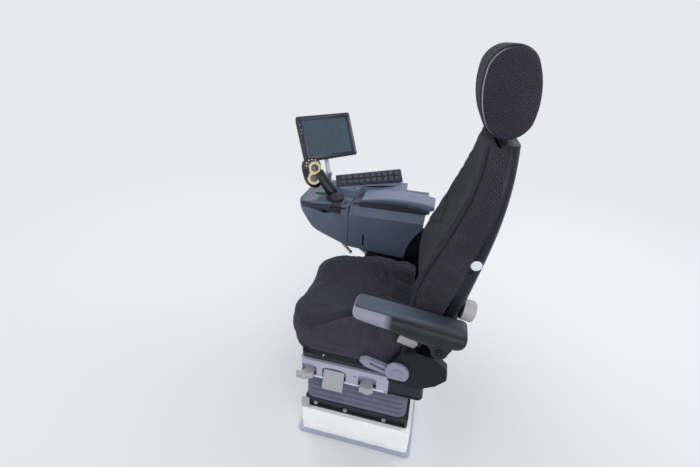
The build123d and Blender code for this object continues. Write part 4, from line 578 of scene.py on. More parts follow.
def round_outline(points, half_x, front, corner):
    """Distance round and outside an outline that is straight behind its round front corners."""
    x, y = points[:, 0], points[:, 1]
    across, ahead = np.abs(x) - (half_x - corner), (front + corner) - y
    angle = np.arctan2(np.maximum(across, 1e-9), np.maximum(ahead, 1e-9))
    arc = corner * math.pi / 2
    walked = np.where(ahead <= 0, half_x - corner + arc - ahead, half_x - corner + corner * angle)
    walked = np.where((across <= 0) & (ahead > 0), np.abs(x), walked)
    beyond = np.hypot(np.maximum(across, 0), np.maximum(ahead, 0))
    outside = beyond + np.minimum(np.maximum(across, ahead), 0) - corner
    return np.sign(x) * walked, outside


def tube(name, loops, radius, body, material):
    """Round piping sewn on the cover, along one or more smooth open lines."""
    curve = bpy.data.curves.new(name, "CURVE")
    curve.dimensions = "3D"
    curve.bevel_depth = radius
    curve.bevel_resolution = 3
    curve.resolution_u = 3
    for points in loops:
        spline = curve.splines.new("NURBS")
        spline.points.add(len(points) - 1)
        for target, point in zip(spline.points, points):
            target.co = (*point, 1.0)
        spline.order_u = 4
        spline.use_endpoint_u = True
    curve.materials.append(material)
    return put(name, curve, body)


def slab(outline, low, high, bevel=0.0):
    """A mesh that stands an outline in x and y up from low to high."""
    shape = bmesh.new()
    base = shape.faces.new([shape.verts.new((x, y, low)) for x, y in outline])
    grown = bmesh.ops.extrude_face_region(shape, geom=[base])
    moved = [item for item in grown["geom"] if isinstance(item, bmesh.types.BMVert)]
    bmesh.ops.translate(shape, verts=moved, vec=(0, 0, high - low))
    bmesh.ops.recalc_face_normals(shape, faces=shape.faces)
    if bevel:
        rim = [edge for edge in shape.edges if all(abs(v.co.z - high) < 1e-7 for v in edge.verts)]
        bmesh.ops.bevel(shape, geom=rim, offset=bevel, segments=3, affect="EDGES", profile=0.5)
    mesh = bpy.data.meshes.new("slab")
    shape.to_mesh(mesh)
    shape.free()
    return mesh


def disc_outline(radius, count=24):
    """The outline of a disc."""
    turns = [2 * math.pi * i / count for i in range(count)]
    return [(radius * math.cos(t), radius * math.sin(t)) for t in turns]


def plate_outline(left, right, low, high):
    """The outline of a rectangle."""
    return [(left, low), (right, low), (right, high), (left, high)]


def ring_mesh(inner, outer, high):
    """A flat ring on z = 0."""
    count = 24
    points, faces = [], []
    for step in range(count):
        turn = 2 * math.pi * step / count
        for radius, z in ((inner, 0.0), (inner, high), (outer, high), (outer, 0.0)):
            points.append((radius * math.cos(turn), radius * math.sin(turn), z))
    for step in range(count):
        here, there = 4 * step, 4 * ((step + 1) % count)
        for side in range(4):
            a, b = side, (side + 1) % 4
            faces.append((here + a, there + a, there + b, here + b))
    mesh = bpy.data.meshes.new("ring")
    mesh.from_pydata(points, [], faces)
    mesh.update()
    return mesh


def joined(name, meshes_and_places, body, material, smooth=True):
    """One piece from several small meshes, each with its own place."""
    whole = bmesh.new()
    for mesh, place in meshes_and_places:
        copy = mesh.copy()
        copy.transform(place)
        whole.from_mesh(copy)
        bpy.data.meshes.remove(copy)
    mesh = bpy.data.meshes.new(name)
    whole.to_mesh(mesh)
    whole.free()
    mesh.materials.append(material)
    mesh.polygons.foreach_set("use_smooth", np.full(len(mesh.polygons), smooth))
    if smooth:
        mesh.set_sharp_from_angle(angle=math.radians(40))
    return put(name, mesh, body)


def facing(origin, normal, right):
    """The place of a flat detail: its z along normal, its x along right."""
    z = Vector(normal).normalized()
    x = (Vector(right) - Vector(right).dot(z) * z).normalized()
    turn = Matrix((x, z.cross(x), z)).transposed().to_4x4()
    turn.translation = Vector(origin)
    return turn


# Operators

class CAB_SEAT_OT_headrest(bpy.types.Operator):
    """Sew the headrest: velour round the front, herringbone ends and piping between them"""

    bl_idname = "cab_seat.headrest"
    bl_label = "Headrest"
    SEAM_IN = 0.016
    THINNER, LOWER, DROP, NOD = 0.91, 0.955, 0.006, math.radians(9)
    # radius, foot, top and rounding of the sleeves round the posts
    SLEEVE = 0.0125, 1.178, 1.1875, 0.0015

    def execute(self, context):
        size, tint = sizes(), looks()
        low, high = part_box("headrest_pad")
        middle = (low + high) / 2
        pad = even_copy("headrest_pad", "headrest_cushion", size.voxel, size.inset)
        points = points_of(pad.data)
        seam_x = high.x - self.SEAM_IN
        held = np.abs(np.abs(points[:, 0]) - seam_x) < 0.6 * size.voxel
        blow_up(pad, held, 5.0, size.head_swell)
        refine(pad)
        points = points_of(pad.data)
        back, rise = self.THINNER * (points[:, 1] - middle.y), self.LOWER * (points[:, 2] - middle.z)
        points[:, 1] = middle.y + back * math.cos(self.NOD) - rise * math.sin(self.NOD)
        points[:, 2] = middle.z - self.DROP + rise * math.cos(self.NOD) + back * math.sin(self.NOD)
        move_points(pad.data, points)
        seam = np.where(points[:, 1] < middle.y, np.abs(points[:, 0]) - seam_x, 0.02)
        press(pad, seam, size.seam_width, size.seam_depth)
        points = points_of(pad.data)
        inboard = np.clip(seam_x - np.abs(points[:, 0]), 0, None)
        lay_uv(pad, points[:, 1] - inboard, points[:, 2])
        panels(
            pad, seam > 0, velour("headrest_velour", tint.velour),
            herringbone("headrest_weave", tint.weave, tint.weave_light, size.weave_column, size.weave_row),
        )
        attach(pad, "headrest")
        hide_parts("headrest_pad")
        middle.z -= self.DROP
        self.pipe(points, middle, seam_x, size, tint)
        self.sleeves(tint)
        return {"FINISHED"}

    def pipe(self, points, middle, seam_x, size, tint):
        """Piping along both seams, which sinks into the cover at its ends."""
        loops = []
        for side in (-1, 1):
            near = points[np.abs(points[:, 0] - side * seam_x) < 0.004]
            angle = np.arctan2(near[:, 2] - middle.z, near[:, 1] - middle.y)
            reach = np.hypot(near[:, 1] - middle.y, near[:, 2] - middle.z)
            loop = []
            for turn in np.linspace(0.5 * math.pi, 1.5 * math.pi, 27):
                gap = np.abs((angle - turn + math.pi) % (2 * math.pi) - math.pi)
                ends = math.sin(turn - 0.5 * math.pi) ** 0.5 if 0.5 * math.pi < turn < 1.5 * math.pi else 0.0
                out = reach[gap < 0.09].mean() + (0.2 * ends - 1.6 * (1 - ends)) * size.piping_radius
                loop.append((side * seam_x, middle.y + out * math.cos(turn), middle.z + out * math.sin(turn)))
            loops.append(loop)
        material = foam_skin("piping_skin", tint.piping, 0.5)
        tube("headrest_piping", loops, size.piping_radius, "headrest", material)

    def sleeves(self, tint):
        """Guide sleeves round the headrest's posts, on top of the backrest."""
        low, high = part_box("headrest_posts")
        radius, foot, top, rounding = self.SLEEVE
        y, post = (low.y + high.y) / 2, 0.006
        parts = [
            (slab(disc_outline(radius), foot, top, rounding), Matrix.Translation((x, y, 0)))
            for x in (low.x + post, high.x - post)
        ]
        material = moulded("sleeve_moulding", tint.black, 0.35)
        joined("post_sleeves", parts, "backrest", material)


class CAB_SEAT_OT_backrest(bpy.types.Operator):
    """Sew the backrest: a velour front between herringbone sides"""

    bl_idname = "cab_seat.backrest"
    bl_label = "Backrest cushion"
    SEAM_IN = 0.034
    # height, and how far the front is set back there, under the small of the back
    SET_BACK = ((0.560, 0.046), (0.600, 0.038), (0.650, 0.022), (0.700, 0.008), (0.750, 0.0))
    # height, and how far the sides reach back round the shell there
    WINGS = ((0.66, 0.0), (0.72, 0.002), (0.80, 0.007), (0.90, 0.014), (1.00, 0.030), (1.18, 0.038))
    # each crease of the front: its line, width and depth
    CREASES = (
        (((0.17, 0, 0.93), (0.10, 0, 0.905), (0.03, 0, 0.90)), 0.009, 0.0035),
        (((-0.17, 0, 0.95), (-0.10, 0, 0.90), (-0.05, 0, 0.84)), 0.009, 0.004),
        (((-0.18, 0, 0.80), (-0.10, 0, 0.83), (-0.04, 0, 0.87)), 0.009, 0.0035),
        (((0.18, 0, 0.68), (0.06, 0, 0.655), (-0.08, 0, 0.66)), 0.010, 0.004),
    )

    def execute(self, context):
        size, tint = sizes(), looks()
        pad = even_copy("back_cushion", "backrest_cushion", size.voxel, size.inset)
        points = points_of(pad.data)
        rear_y = self.level(points, lambda band: band[:, 1].max())
        front_y = self.level(points, lambda band: band[:, 1].min())
        share = np.clip((rear_y - points[:, 1]) / (rear_y - front_y), 0, 1)
        back = np.interp(points[:, 2], [z for z, y in self.SET_BACK], [y for z, y in self.SET_BACK])
        points[:, 1] += share * back
        half = self.level(points, lambda band: np.abs(band[:, 0]).max())
        wing = eased(np.abs(points[:, 0]) / half, 0.88, 0.97) * eased(1 - share, 0.30, 0.95)
        points[:, 1] += wing * np.interp(points[:, 2], [z for z, y in self.WINGS], [y for z, y in self.WINGS])
        points[:, 0] += 0.006 * wing * np.sign(points[:, 0]) * eased(points[:, 2], 0.66, 0.80)
        move_points(pad.data, points)
        points, normals = points_of(pad.data), normals_of(pad.data)
        resting = (normals[:, 1] > 0.6) | (np.abs(self.seam(points)) < 0.5 * size.voxel)
        blow_up(pad, resting, 4.0, size.back_swell, slack=0.03)
        refine(pad)
        points = points_of(pad.data)
        seam = np.where(normals_of(pad.data)[:, 1] < 0.5, self.seam(points), 0.03)
        raise_welt(pad, seam, 0.006, 0.0035, 0.0016)
        press(pad, seam, size.seam_width, size.seam_depth)
        for line, width, depth in self.CREASES:
            crease(pad, line, width, depth, (0, -1, 0))
        points = points_of(pad.data)
        front_y = self.level(points, lambda band: band[:, 1].min())
        lay_uv(pad, np.abs(points[:, 0]) + points[:, 1] - front_y, points[:, 2])
        panels(
            pad, seam > 0, velour("backrest_velour", tint.velour),
            herringbone("backrest_weave", tint.weave, tint.weave_light, size.weave_column, size.weave_row),
        )
        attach(pad, "backrest")
        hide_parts("back_cushion")
        return {"FINISHED"}

    def level(self, points, measure):
        """One measure of the pad's section at each point's height."""
        heights = np.linspace(points[:, 2].min(), points[:, 2].max(), 25)
        found = [measure(points[np.abs(points[:, 2] - height) < 0.02]) for height in heights]
        return np.interp(points[:, 2], heights, found)

    def seam(self, points):
        """Distance outwards from the seam between front and side, for each point."""
        half = self.level(points, lambda band: np.abs(band[:, 0]).max())
        return np.abs(points[:, 0]) - (half - self.SEAM_IN)



class CAB_SEAT_OT_cushion(bpy.types.Operator):
    """Sew the seat cushion: a velour top, lightened as painted light against the armrest's shadow, over
    lighter woven sides, creased where it has been sat on
    """

    bl_idname = "cab_seat.cushion"
    bl_label = "Seat cushion"
    # y, and how far inboard of the cushion's side the top's seam runs there
    SEAM = (
        (-0.30, 0.002), (-0.21, 0.006), (-0.17, 0.010), (-0.13, 0.018), (-0.08, 0.046), (-0.03, 0.070),
        (0.16, 0.072),
    )
    # how far the seam lies under the top at the sides, and how much further at the front
    EDGE_DROP, FRONT_DROP = 0.026, 0.030
    CORNER = 0.150
    # height of the rear bolsters, how far the front is set back, more so in its middle, and the foot's height
    BOLSTER, FRONT_BACK, MIDDLE_BACK, FOOT = 0.026, 0.012, 0.024, 0.438
    # how far the tray lies inside the cover, and the radius, height, y and z of its bolt
    TRAY_IN = 0.006
    BOLT_RADIUS, BOLT_HIGH, BOLT_Y, BOLT_Z = 0.0042, 0.0022, -0.124, 0.4275
    # each crease: its line, width and depth
    TOP_CREASES = (
        (((-0.172, -0.045, 0), (-0.105, -0.006, 0), (-0.045, 0.030, 0)), 0.0065, 0.0075),
        (((-0.190, -0.002, 0), (-0.115, 0.030, 0), (-0.040, 0.062, 0)), 0.0060, 0.0085),
        (((-0.195, 0.045, 0), (-0.140, 0.064, 0), (-0.080, 0.084, 0)), 0.0055, 0.0070),
        (((-0.150, -0.110, 0), (-0.090, -0.060, 0), (-0.050, -0.030, 0)), 0.0085, 0.0035),
        (((0.150, 0.060, 0), (0.100, 0.072, 0), (0.050, 0.088, 0)), 0.0065, 0.0060),
        (((0.140, 0.020, 0), (0.080, 0.036, 0), (0.030, 0.060, 0)), 0.0065, 0.0050),
    )
    SIDE_CREASES = (
        (((0, -0.13, 0.520), (0, -0.07, 0.512), (0, 0.0, 0.520)), 0.007, 0.005),
        (((0, -0.15, 0.478), (0, -0.06, 0.482), (0, 0.05, 0.488)), 0.009, 0.003),
    )

    def execute(self, context):
        size, tint = sizes(), looks()
        low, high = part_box("seat_cushion")
        pad = even_copy("seat_cushion", "seat_cushion_cover", size.voxel, size.inset, smooth=10)
        self.shape(pad, low, high)
        points, normals = points_of(pad.data), normals_of(pad.data)
        resting = (normals[:, 2] < -0.6) | (normals[:, 1] > 0.8)
        held = resting | (np.abs(self.seam(points, low, high)) < 0.5 * size.voxel)
        blow_up(pad, held, 4.0, size.cushion_swell, slack=0.035)
        refine(pad)
        points = points_of(pad.data)
        seam = self.seam(points, low, high)
        raise_welt(pad, seam, 0.010, 0.005, 0.0014)
        press(pad, seam, size.seam_width, 0.8 * size.seam_depth)
        for line, width, depth in self.TOP_CREASES:
            crease(pad, line, width, depth, (0, 0, 1))
        for line, width, depth in self.SIDE_CREASES:
            crease(pad, line, width, depth, (1, 0, 0))
        points = points_of(pad.data)
        walked, outside = round_outline(points, high.x, low.y, self.CORNER)
        lay_uv(pad, walked, points[:, 2] - np.minimum(outside, 0))
        # painted light: the top's velour is a lighter copy of the velour, set against the armrest's shadow on
        # the seat
        panels(
            pad, seam > 0, velour("cushion_velour_painted_light", shade(tint.velour, 1.3)),
            herringbone(
                "cushion_weave", shade(tint.weave, 1.6), tint.weave_light, size.weave_column, size.weave_row
            ),
        )
        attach(pad, "seat")
        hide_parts("seat_cushion")
        self.tray(low, high, tint)
        return {"FINISHED"}

    def shape(self, pad, low, high):
        """Even out the dished top, raise the rear of the bolsters and set back the middle of the front."""
        points, normals = points_of(pad.data), normals_of(pad.data)
        outside = round_outline(points, high.x, low.y, self.CORNER)[1]
        soften(pad, eased(-outside, 0.016, 0.050) * (normals[:, 2] > 0), 70)
        points = points_of(pad.data)
        x, y, z = points.T
        height = eased(z, low.z + 0.03, high.z - 0.03)
        bolster = eased(np.abs(x), 0.11, 0.20) * eased(y, -0.16, 0.0) * (1 - eased(y, 0.10, 0.17))
        middle = np.exp(-(((x + 0.02) / 0.085) ** 2))
        ahead = 1 - eased(y, -0.27, -0.12)
        foot = 1 - eased(z, low.z, low.z + 0.09)
        points[:, 1] += height * ahead * (self.FRONT_BACK + self.MIDDLE_BACK * middle)
        points[:, 2] += self.BOLSTER * bolster * height + foot * (self.FOOT - low.z)
        move_points(pad.data, points)

    def seam(self, points, low, high):
        """Distance outwards and down from the seam between top and sides, for each point."""
        ys = [y for y, inboard in self.SEAM]
        inboard = np.interp(points[:, 1], ys, [value for y, value in self.SEAM])
        across = np.abs(points[:, 0]) - (high.x - inboard)
        front = 1 - eased(points[:, 1], -0.28, -0.16)
        drop = (high.z - self.EDGE_DROP - self.FRONT_DROP * front) - points[:, 2]
        outside = round_outline(points, high.x, low.y, self.CORNER)[1]
        return np.maximum(across, np.where(outside > -0.060, drop, -0.03))

    def tray(self, low, high, tint):
        """The black tray that shows as a strip under the cushion, with its bolt."""
        reach, side_x = self.CORNER - self.TRAY_IN, high.x - self.TRAY_IN
        outline = []
        for side in (1, -1):
            for step in range(9):
                angle = math.pi / 2 * (step / 8 if side > 0 else 1 - step / 8)
                outline.append((
                    side * (high.x - self.CORNER + reach * math.cos(angle)),
                    low.y + 0.012 + self.CORNER - reach * math.sin(angle),
                ))
        outline += [(-side_x, 0.12), (side_x, 0.12)]
        parts = [(slab(outline, low.z - 0.0005, self.FOOT + 0.004, 0.001), Matrix())]
        joined("cushion_tray", parts, "seat",
               painted("tray_steel", shade(tint.steel, 0.5), 0.5, dust=0.03, shine=0.2))
        bolt = slab(disc_outline(self.BOLT_RADIUS, 16), 0.0, self.BOLT_HIGH, 0.0008)
        place = facing((side_x - 0.0003, self.BOLT_Y, self.BOLT_Z), (1, 0, 0), (0, 1, 0))
        joined("tray_bolt", [(bolt, place)], "seat", plated("bolt_zinc", tint.zinc))



class CAB_SEAT_OT_armrest(bpy.types.Operator):
    """Form the armrest: a thin upper shell, a groove, and a deeper lower shell whose paler front is a painted
    reflection
    """

    bl_idname = "cab_seat.armrest"
    bl_label = "Armrest pad"
    GROOVE_SHARE = 0.78
    THICKNESS, FALL = 0.040, 0.115
    # y, and how far the lower shell hangs below the pad there
    HANG = (
        (-0.014, 0.006), (0.03, 0.012), (0.10, 0.017), (0.16, 0.031), (0.22, 0.036), (0.28, 0.024),
        (0.305, 0.010),
    )
    # how high the top is crowned, how far its outer side slopes in and its rear end reaches back
    CROWN, SLOPE, REAR = 0.0035, 0.020, 0.015

    def execute(self, context):
        tint = looks()
        low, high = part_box("armrest_pad")
        pad = even_copy("armrest_pad", "armrest_cushion", 0.004, 0.0006, smooth=8)
        points = points_of(pad.data)
        share = self.height(points, low, high)
        crown = 1 - ((points[:, 0] - (low.x + high.x) / 2) / (0.5 * (high.x - low.x))) ** 2
        points[:, 2] += self.CROWN * crown * np.clip((share - 0.6) / 0.4, 0, 1)
        middle_x = (low.x + high.x) / 2
        slope = eased(share, 0.40, 0.95)
        outward = np.clip((points[:, 0] - middle_x) / (high.x - middle_x), 0, 1)
        points[:, 0] -= slope * (self.SLOPE * outward + 0.06 * (points[:, 0] - middle_x))
        hang = np.interp(points[:, 1], [y for y, drop in self.HANG], [drop for y, drop in self.HANG])
        points[:, 2] -= hang * np.clip((self.GROOVE_SHARE - 0.1 - share) / (self.GROOVE_SHARE - 0.1), 0, 1)
        points[:, 1] += self.REAR * eased(points[:, 1], 0.20, 0.29)
        move_points(pad.data, points)
        refine(pad, smooth=2)
        points = points_of(pad.data)
        share = self.height(points, low, high)
        press(pad, (share - self.GROOVE_SHARE) * self.THICKNESS, 0.0032, 0.0030)
        panels(pad, np.zeros(len(points), bool), self.skin(tint, low, high))
        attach(pad, "left_armrest")
        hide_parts("armrest_pad")
        arm = moulded("armrest_moulding", shade(tint.arm_skin, 0.20), 0.42, wear=0.15, shine=0.22, dust=0.01)
        dress("armrest_arm", arm)
        return {"FINISHED"}

    def skin(self, tint, low, high):
        """Grained skin: a top whose lighter front is a painted reflection, so it is darker to the rear, over
        a lower shell whose paler front is a painted reflection, with painted shade along the groove between
        them.
        """
        finish = Finish("armrest_skin", 0.42, Specular_IOR_Level=0.22)
        parts = finish.node("ShaderNodeSeparateXYZ")
        finish.feed(parts.inputs[0], finish.place)
        along, up = parts.outputs["Y"], parts.outputs["Z"]
        patches, grain = finish.noise(12.0, 4.0, 0.6), finish.cells(560.0)
        # painted reflection: the top is lighter at its front and darker towards its rear
        top_front_painted_reflection = finish.mix(patches, shade(tint.arm_skin, 0.98), shade(tint.arm_skin, 1.30))
        plain = finish.mix(patches, shade(tint.arm_skin, 0.38), shade(tint.arm_skin, 0.54))
        top = finish.mix(finish.span(along, 0.10, 0.24), top_front_painted_reflection, plain)
        # painted reflection: the lower shell is paler at its front, fading to its darker rear
        pale = finish.mix(patches, (0.215, 0.215, 0.275), (0.28, 0.28, 0.345))
        dark = finish.mix(patches, shade(tint.arm_skin, 0.16), shade(tint.arm_skin, 0.28))
        lower = finish.mix(finish.span(along, 0.080, 0.105), pale, dark)
        # the same height above the groove as in the method below
        groove = finish.math("ADD", up, finish.math("MULTIPLY", along, self.FALL))
        level = high.z + self.FALL * low.y - self.THICKNESS * (1 - self.GROOVE_SHARE)
        base = finish.mix(finish.span(groove, level - 0.0007, level + 0.0007), lower, top)
        # painted shade: the skin is darkened along the groove
        gap = finish.math("ABSOLUTE", finish.math("SUBTRACT", groove, level))
        base = finish.mix(finish.span(gap, 0.0008, 0.0022, 0.75, 0.0), base, shade(tint.arm_skin, 0.10))
        base = finish.mix(finish.span(grain, 0.10, 0.45, 0.22, 0.0), base, shade(tint.arm_skin, 0.3))
        gloss = finish.span(finish.noise(18.0, 3.0), 0.3, 0.7, 0.34, 0.50)
        return finish.paint(base, gloss, finish.bump(grain, 0.00018, 0.7))

    def height(self, points, low, high):
        """Height of each point as a share of the pad's thickness, which falls towards the rear."""
        return 1 - (high.z - self.FALL * (points[:, 1] - low.y) - points[:, 2]) / self.THICKNESS


class CAB_SEAT_OT_bellows(bpy.types.Operator):
    """Fold the bellows round the suspension"""

    bl_idname = "cab_seat.bellows"
    bl_label = "Bellows"
    CORNER = 0.034
    WIDER, LONGER = 0.010, 0.016
    # the sag at half height, and the ripple along a fold as a share of the fold's depth
    SAG, RIPPLE = 0.0025, 0.0012 / 0.019
    # points round the skin and up it
    AROUND, UP = 264, 91

    def execute(self, context):
        size, tint = sizes(), looks()
        low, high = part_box("bellows")
        low = Vector((low.x - self.WIDER, low.y - self.LONGER, low.z))
        high = Vector((high.x + self.WIDER, high.y + 0.004, high.z))
        rows = []
        for step in range(self.UP):
            share = step / (self.UP - 1)
            fold = 1 - abs(math.cos(math.pi * size.bellows_folds * share)) ** 0.75
            drawn = fold * size.fold_depth
            rows.append([self.place(turn, drawn, share, low, high) for turn in range(self.AROUND)])
        mesh = bpy.data.meshes.new("bellows_skin")
        count = self.AROUND
        faces = []
        for row in range(0, (self.UP - 1) * count, count):
            for here in range(count):
                after = (here + 1) % count
                faces.append((row + here, row + after, row + count + after, row + count + here))
        mesh.from_pydata([point for row in rows for point in row], [], faces)
        mesh.update()
        mesh.materials.append(rubber("bellows_cloth", tint.bellows))
        piece = put("bellows_skin", mesh, "base")
        wall = piece.modifiers.new("Wall", "SOLIDIFY")
        wall.thickness = 0.003
        wall.offset = -1.0
        bake_modifiers(piece)
        for polygon in piece.data.polygons:
            polygon.use_smooth = True
        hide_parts("bellows")
        return {"FINISHED"}

    def place(self, turn, drawn, share, low, high):
        """A point of the skin: round a rounded rectangle, drawn in at its fold, less so at the corners."""
        half_x, half_y = high.x - 0.0006, (high.y - low.y) / 2 - 0.0006
        centre_y = (high.y + low.y) / 2
        run_x, run_y, arc = half_x - self.CORNER, half_y - self.CORNER, self.CORNER * math.pi / 2
        lengths = (run_y, arc, 2 * run_x, arc, 2 * run_y, arc, 2 * run_x, arc, run_y)
        walked = turn / self.AROUND * sum(lengths)
        heading, x, y = math.pi / 2, half_x, 0.0
        corner = 0.0
        for number, piece_length in enumerate(lengths):
            here = min(walked, piece_length)
            if number % 2:
                angle = here / self.CORNER
                side_x, side_y = math.cos(heading + math.pi / 2), math.sin(heading + math.pi / 2)
                x += self.CORNER * (side_x * (1 - math.cos(angle)) + math.cos(heading) * math.sin(angle))
                y += self.CORNER * (side_y * (1 - math.cos(angle)) + math.sin(heading) * math.sin(angle))
                heading += angle
                corner = math.sin(math.pi * here / piece_length) if walked <= piece_length else 0.0
            else:
                x += here * math.cos(heading)
                y += here * math.sin(heading)
                corner = 0.0
            walked -= here
            if walked <= 0:
                break
        out_x, out_y = math.sin(heading), -math.cos(heading)
        sag = self.SAG * math.sin(math.pi * share) * (1 - corner)
        inward = drawn * (1 - 0.22 * corner) + sag
        ripple = self.RIPPLE * math.sin(5.0 * turn / self.AROUND * 2 * math.pi + 4.0 * share) * drawn
        z = low.z + share * (high.z - low.z) + ripple
        return (x - out_x * inward, y + centre_y - out_y * inward, z)


class CAB_SEAT_OT_mouldings(bpy.types.Operator):
    """Finish the mouldings and steel parts of the seat and its base"""

    bl_idname = "cab_seat.mouldings"
    bl_label = "Seat mouldings"
    # the frame bolts: distance from the middle, y and z of each, and radii of head and washer
    BOLT_X, BOLTS = 0.2332, ((-0.157, 0.1575), (-0.040, 0.1515), (0.110, 0.1515))
    BOLT_RADIUS, WASHER_RADIUS, WASHER_HIGH, BOLT_HIGH = 0.0062, 0.0085, 0.0022, 0.0060
    # the housing's ribs: front, rear, half height and how far they stand out
    RIB_FRONT, RIB_REAR, RIB_HALF, RIB_OUT = -0.196, 0.098, 0.0034, 0.0034
    # the blank disc on the shell
    DISC_AT, DISC_RADIUS, DISC_HIGH = (0.2277, 0.308, 0.8787), 0.0155, 0.0009
    # middle of the tab's solid, how much lower it hangs and how far out it reaches
    TAB_Y, TAB_Z, TAB_LOWER, TAB_OUT = 0.1555, 0.609, 0.021, 0.004

    def execute(self, context):
        tint = looks()
        black = moulded("black_moulding", tint.black, 0.40, wear=0.10, shine=0.2, dust=0.01)
        light = moulded("light_moulding", tint.light, 0.42, wear=0.15)
        steel = painted("black_steel", tint.steel, 0.45, dust=0.08, shine=0.3)
        zinc = plated("zinc_plate", tint.zinc)
        hinge = moulded("hinge_moulding", tint.hinge, 0.45, wear=0.1)
        shell = moulded("shell_moulding", tint.shell, 0.36, wear=0.15, shine=0.25, dust=0.01)
        housing_rear = moulded("dark_housing", shade(tint.dark, 0.6), 0.42, wear=0.15, shine=0.25, dust=0.01)
        finishes = {
            "base_plate": painted("plate_paint", tint.plate, 0.38, 0.35),
            "pedestal": painted("white_paint", tint.white, 0.34, 0.10),
            "lower_frame": steel, "frame_end_blocks": light,
            "suspension_housing": moulded("silver_moulding", tint.silver, 0.36, wear=0.15),
            "housing_rear": housing_rear,
            "handle_front": light, "handle_flap": light, "handle_rear": light,
            "lower_rails": zinc, "upper_rails": zinc, "seat_pan": steel, "cushion_handles": light,
            "side_cover_left": black, "side_cover_right": black, "hinge_cover": hinge, "recline_lever": hinge,
            "console_bracket": steel, "back_frame": steel, "back_shell": shell,
            "back_cover_left": black, "back_cover_right": black,
            "side_tab": light, "lumbar_knob": light, "headrest_posts": zinc,
        }
        for node, material in finishes.items():
            dress(node, material)
        self.fittings(tint, light)
        return {"FINISHED"}

    def fittings(self, tint, light):
        """Bolts of the frame, ribs along the housing's lower edge, lighter than the housing as a painted
        highlight, and the shell's blank disc and tab.
        """
        zinc = plated("fitting_zinc", tint.zinc, 0.3)
        bolt = slab(disc_outline(self.BOLT_RADIUS, 6), self.WASHER_HIGH, self.BOLT_HIGH, 0.0008)
        washer = slab(disc_outline(self.WASHER_RADIUS, 28), 0.0, self.WASHER_HIGH, 0.0006)
        parts = []
        for side in (-1, 1):
            for y, z in self.BOLTS:
                place = facing((side * self.BOLT_X, y, z), (side, 0, 0), (0, side, 0))
                parts += [(bolt, place), (washer, place)]
        joined("frame_bolts", parts, "base", zinc)
        low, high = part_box("suspension_housing")
        outline = plate_outline(self.RIB_FRONT, self.RIB_REAR, -self.RIB_HALF, self.RIB_HALF)
        rib = slab(outline, 0.0, self.RIB_OUT, 0.0014)
        ribs = [
            (rib, facing((side * (high.x - 0.0032), 0, low.z + 0.0035), (side, 0, 0), (0, 1, 0)))
            for side in (-1, 1)
        ]
        # the ribs stand out for real; their lighter silver is a painted highlight
        silver = moulded("rib_painted_highlight", shade(tint.silver, 1.7), 0.35, wear=0.05)
        joined("housing_ribs", ribs, "base", silver)
        disc = slab(disc_outline(self.DISC_RADIUS, 48), 0.0, self.DISC_HIGH, 0.0004)
        white = moulded("disc_white", (0.62, 0.66, 0.72), 0.3, grain=2000.0, wear=0.05)
        place = facing(self.DISC_AT, (1, 0.09, 0), (0, 1, 0))
        joined("blank_disc", [(disc, place)], "backrest", white)
        reshaped("side_tab", "side_tab_cap", "backrest", light, self.lower_tab)

    def lower_tab(self, points):
        """The tab hangs lower and reaches further out than its solid."""
        points[:, 2] = self.TAB_Z - self.TAB_LOWER + 1.25 * (points[:, 2] - self.TAB_Z)
        points[:, 1] = self.TAB_Y + 1.12 * (points[:, 1] - self.TAB_Y)
        points[:, 0] = np.where(points[:, 0] > 0.254, points[:, 0] + self.TAB_OUT, points[:, 0])
        return points


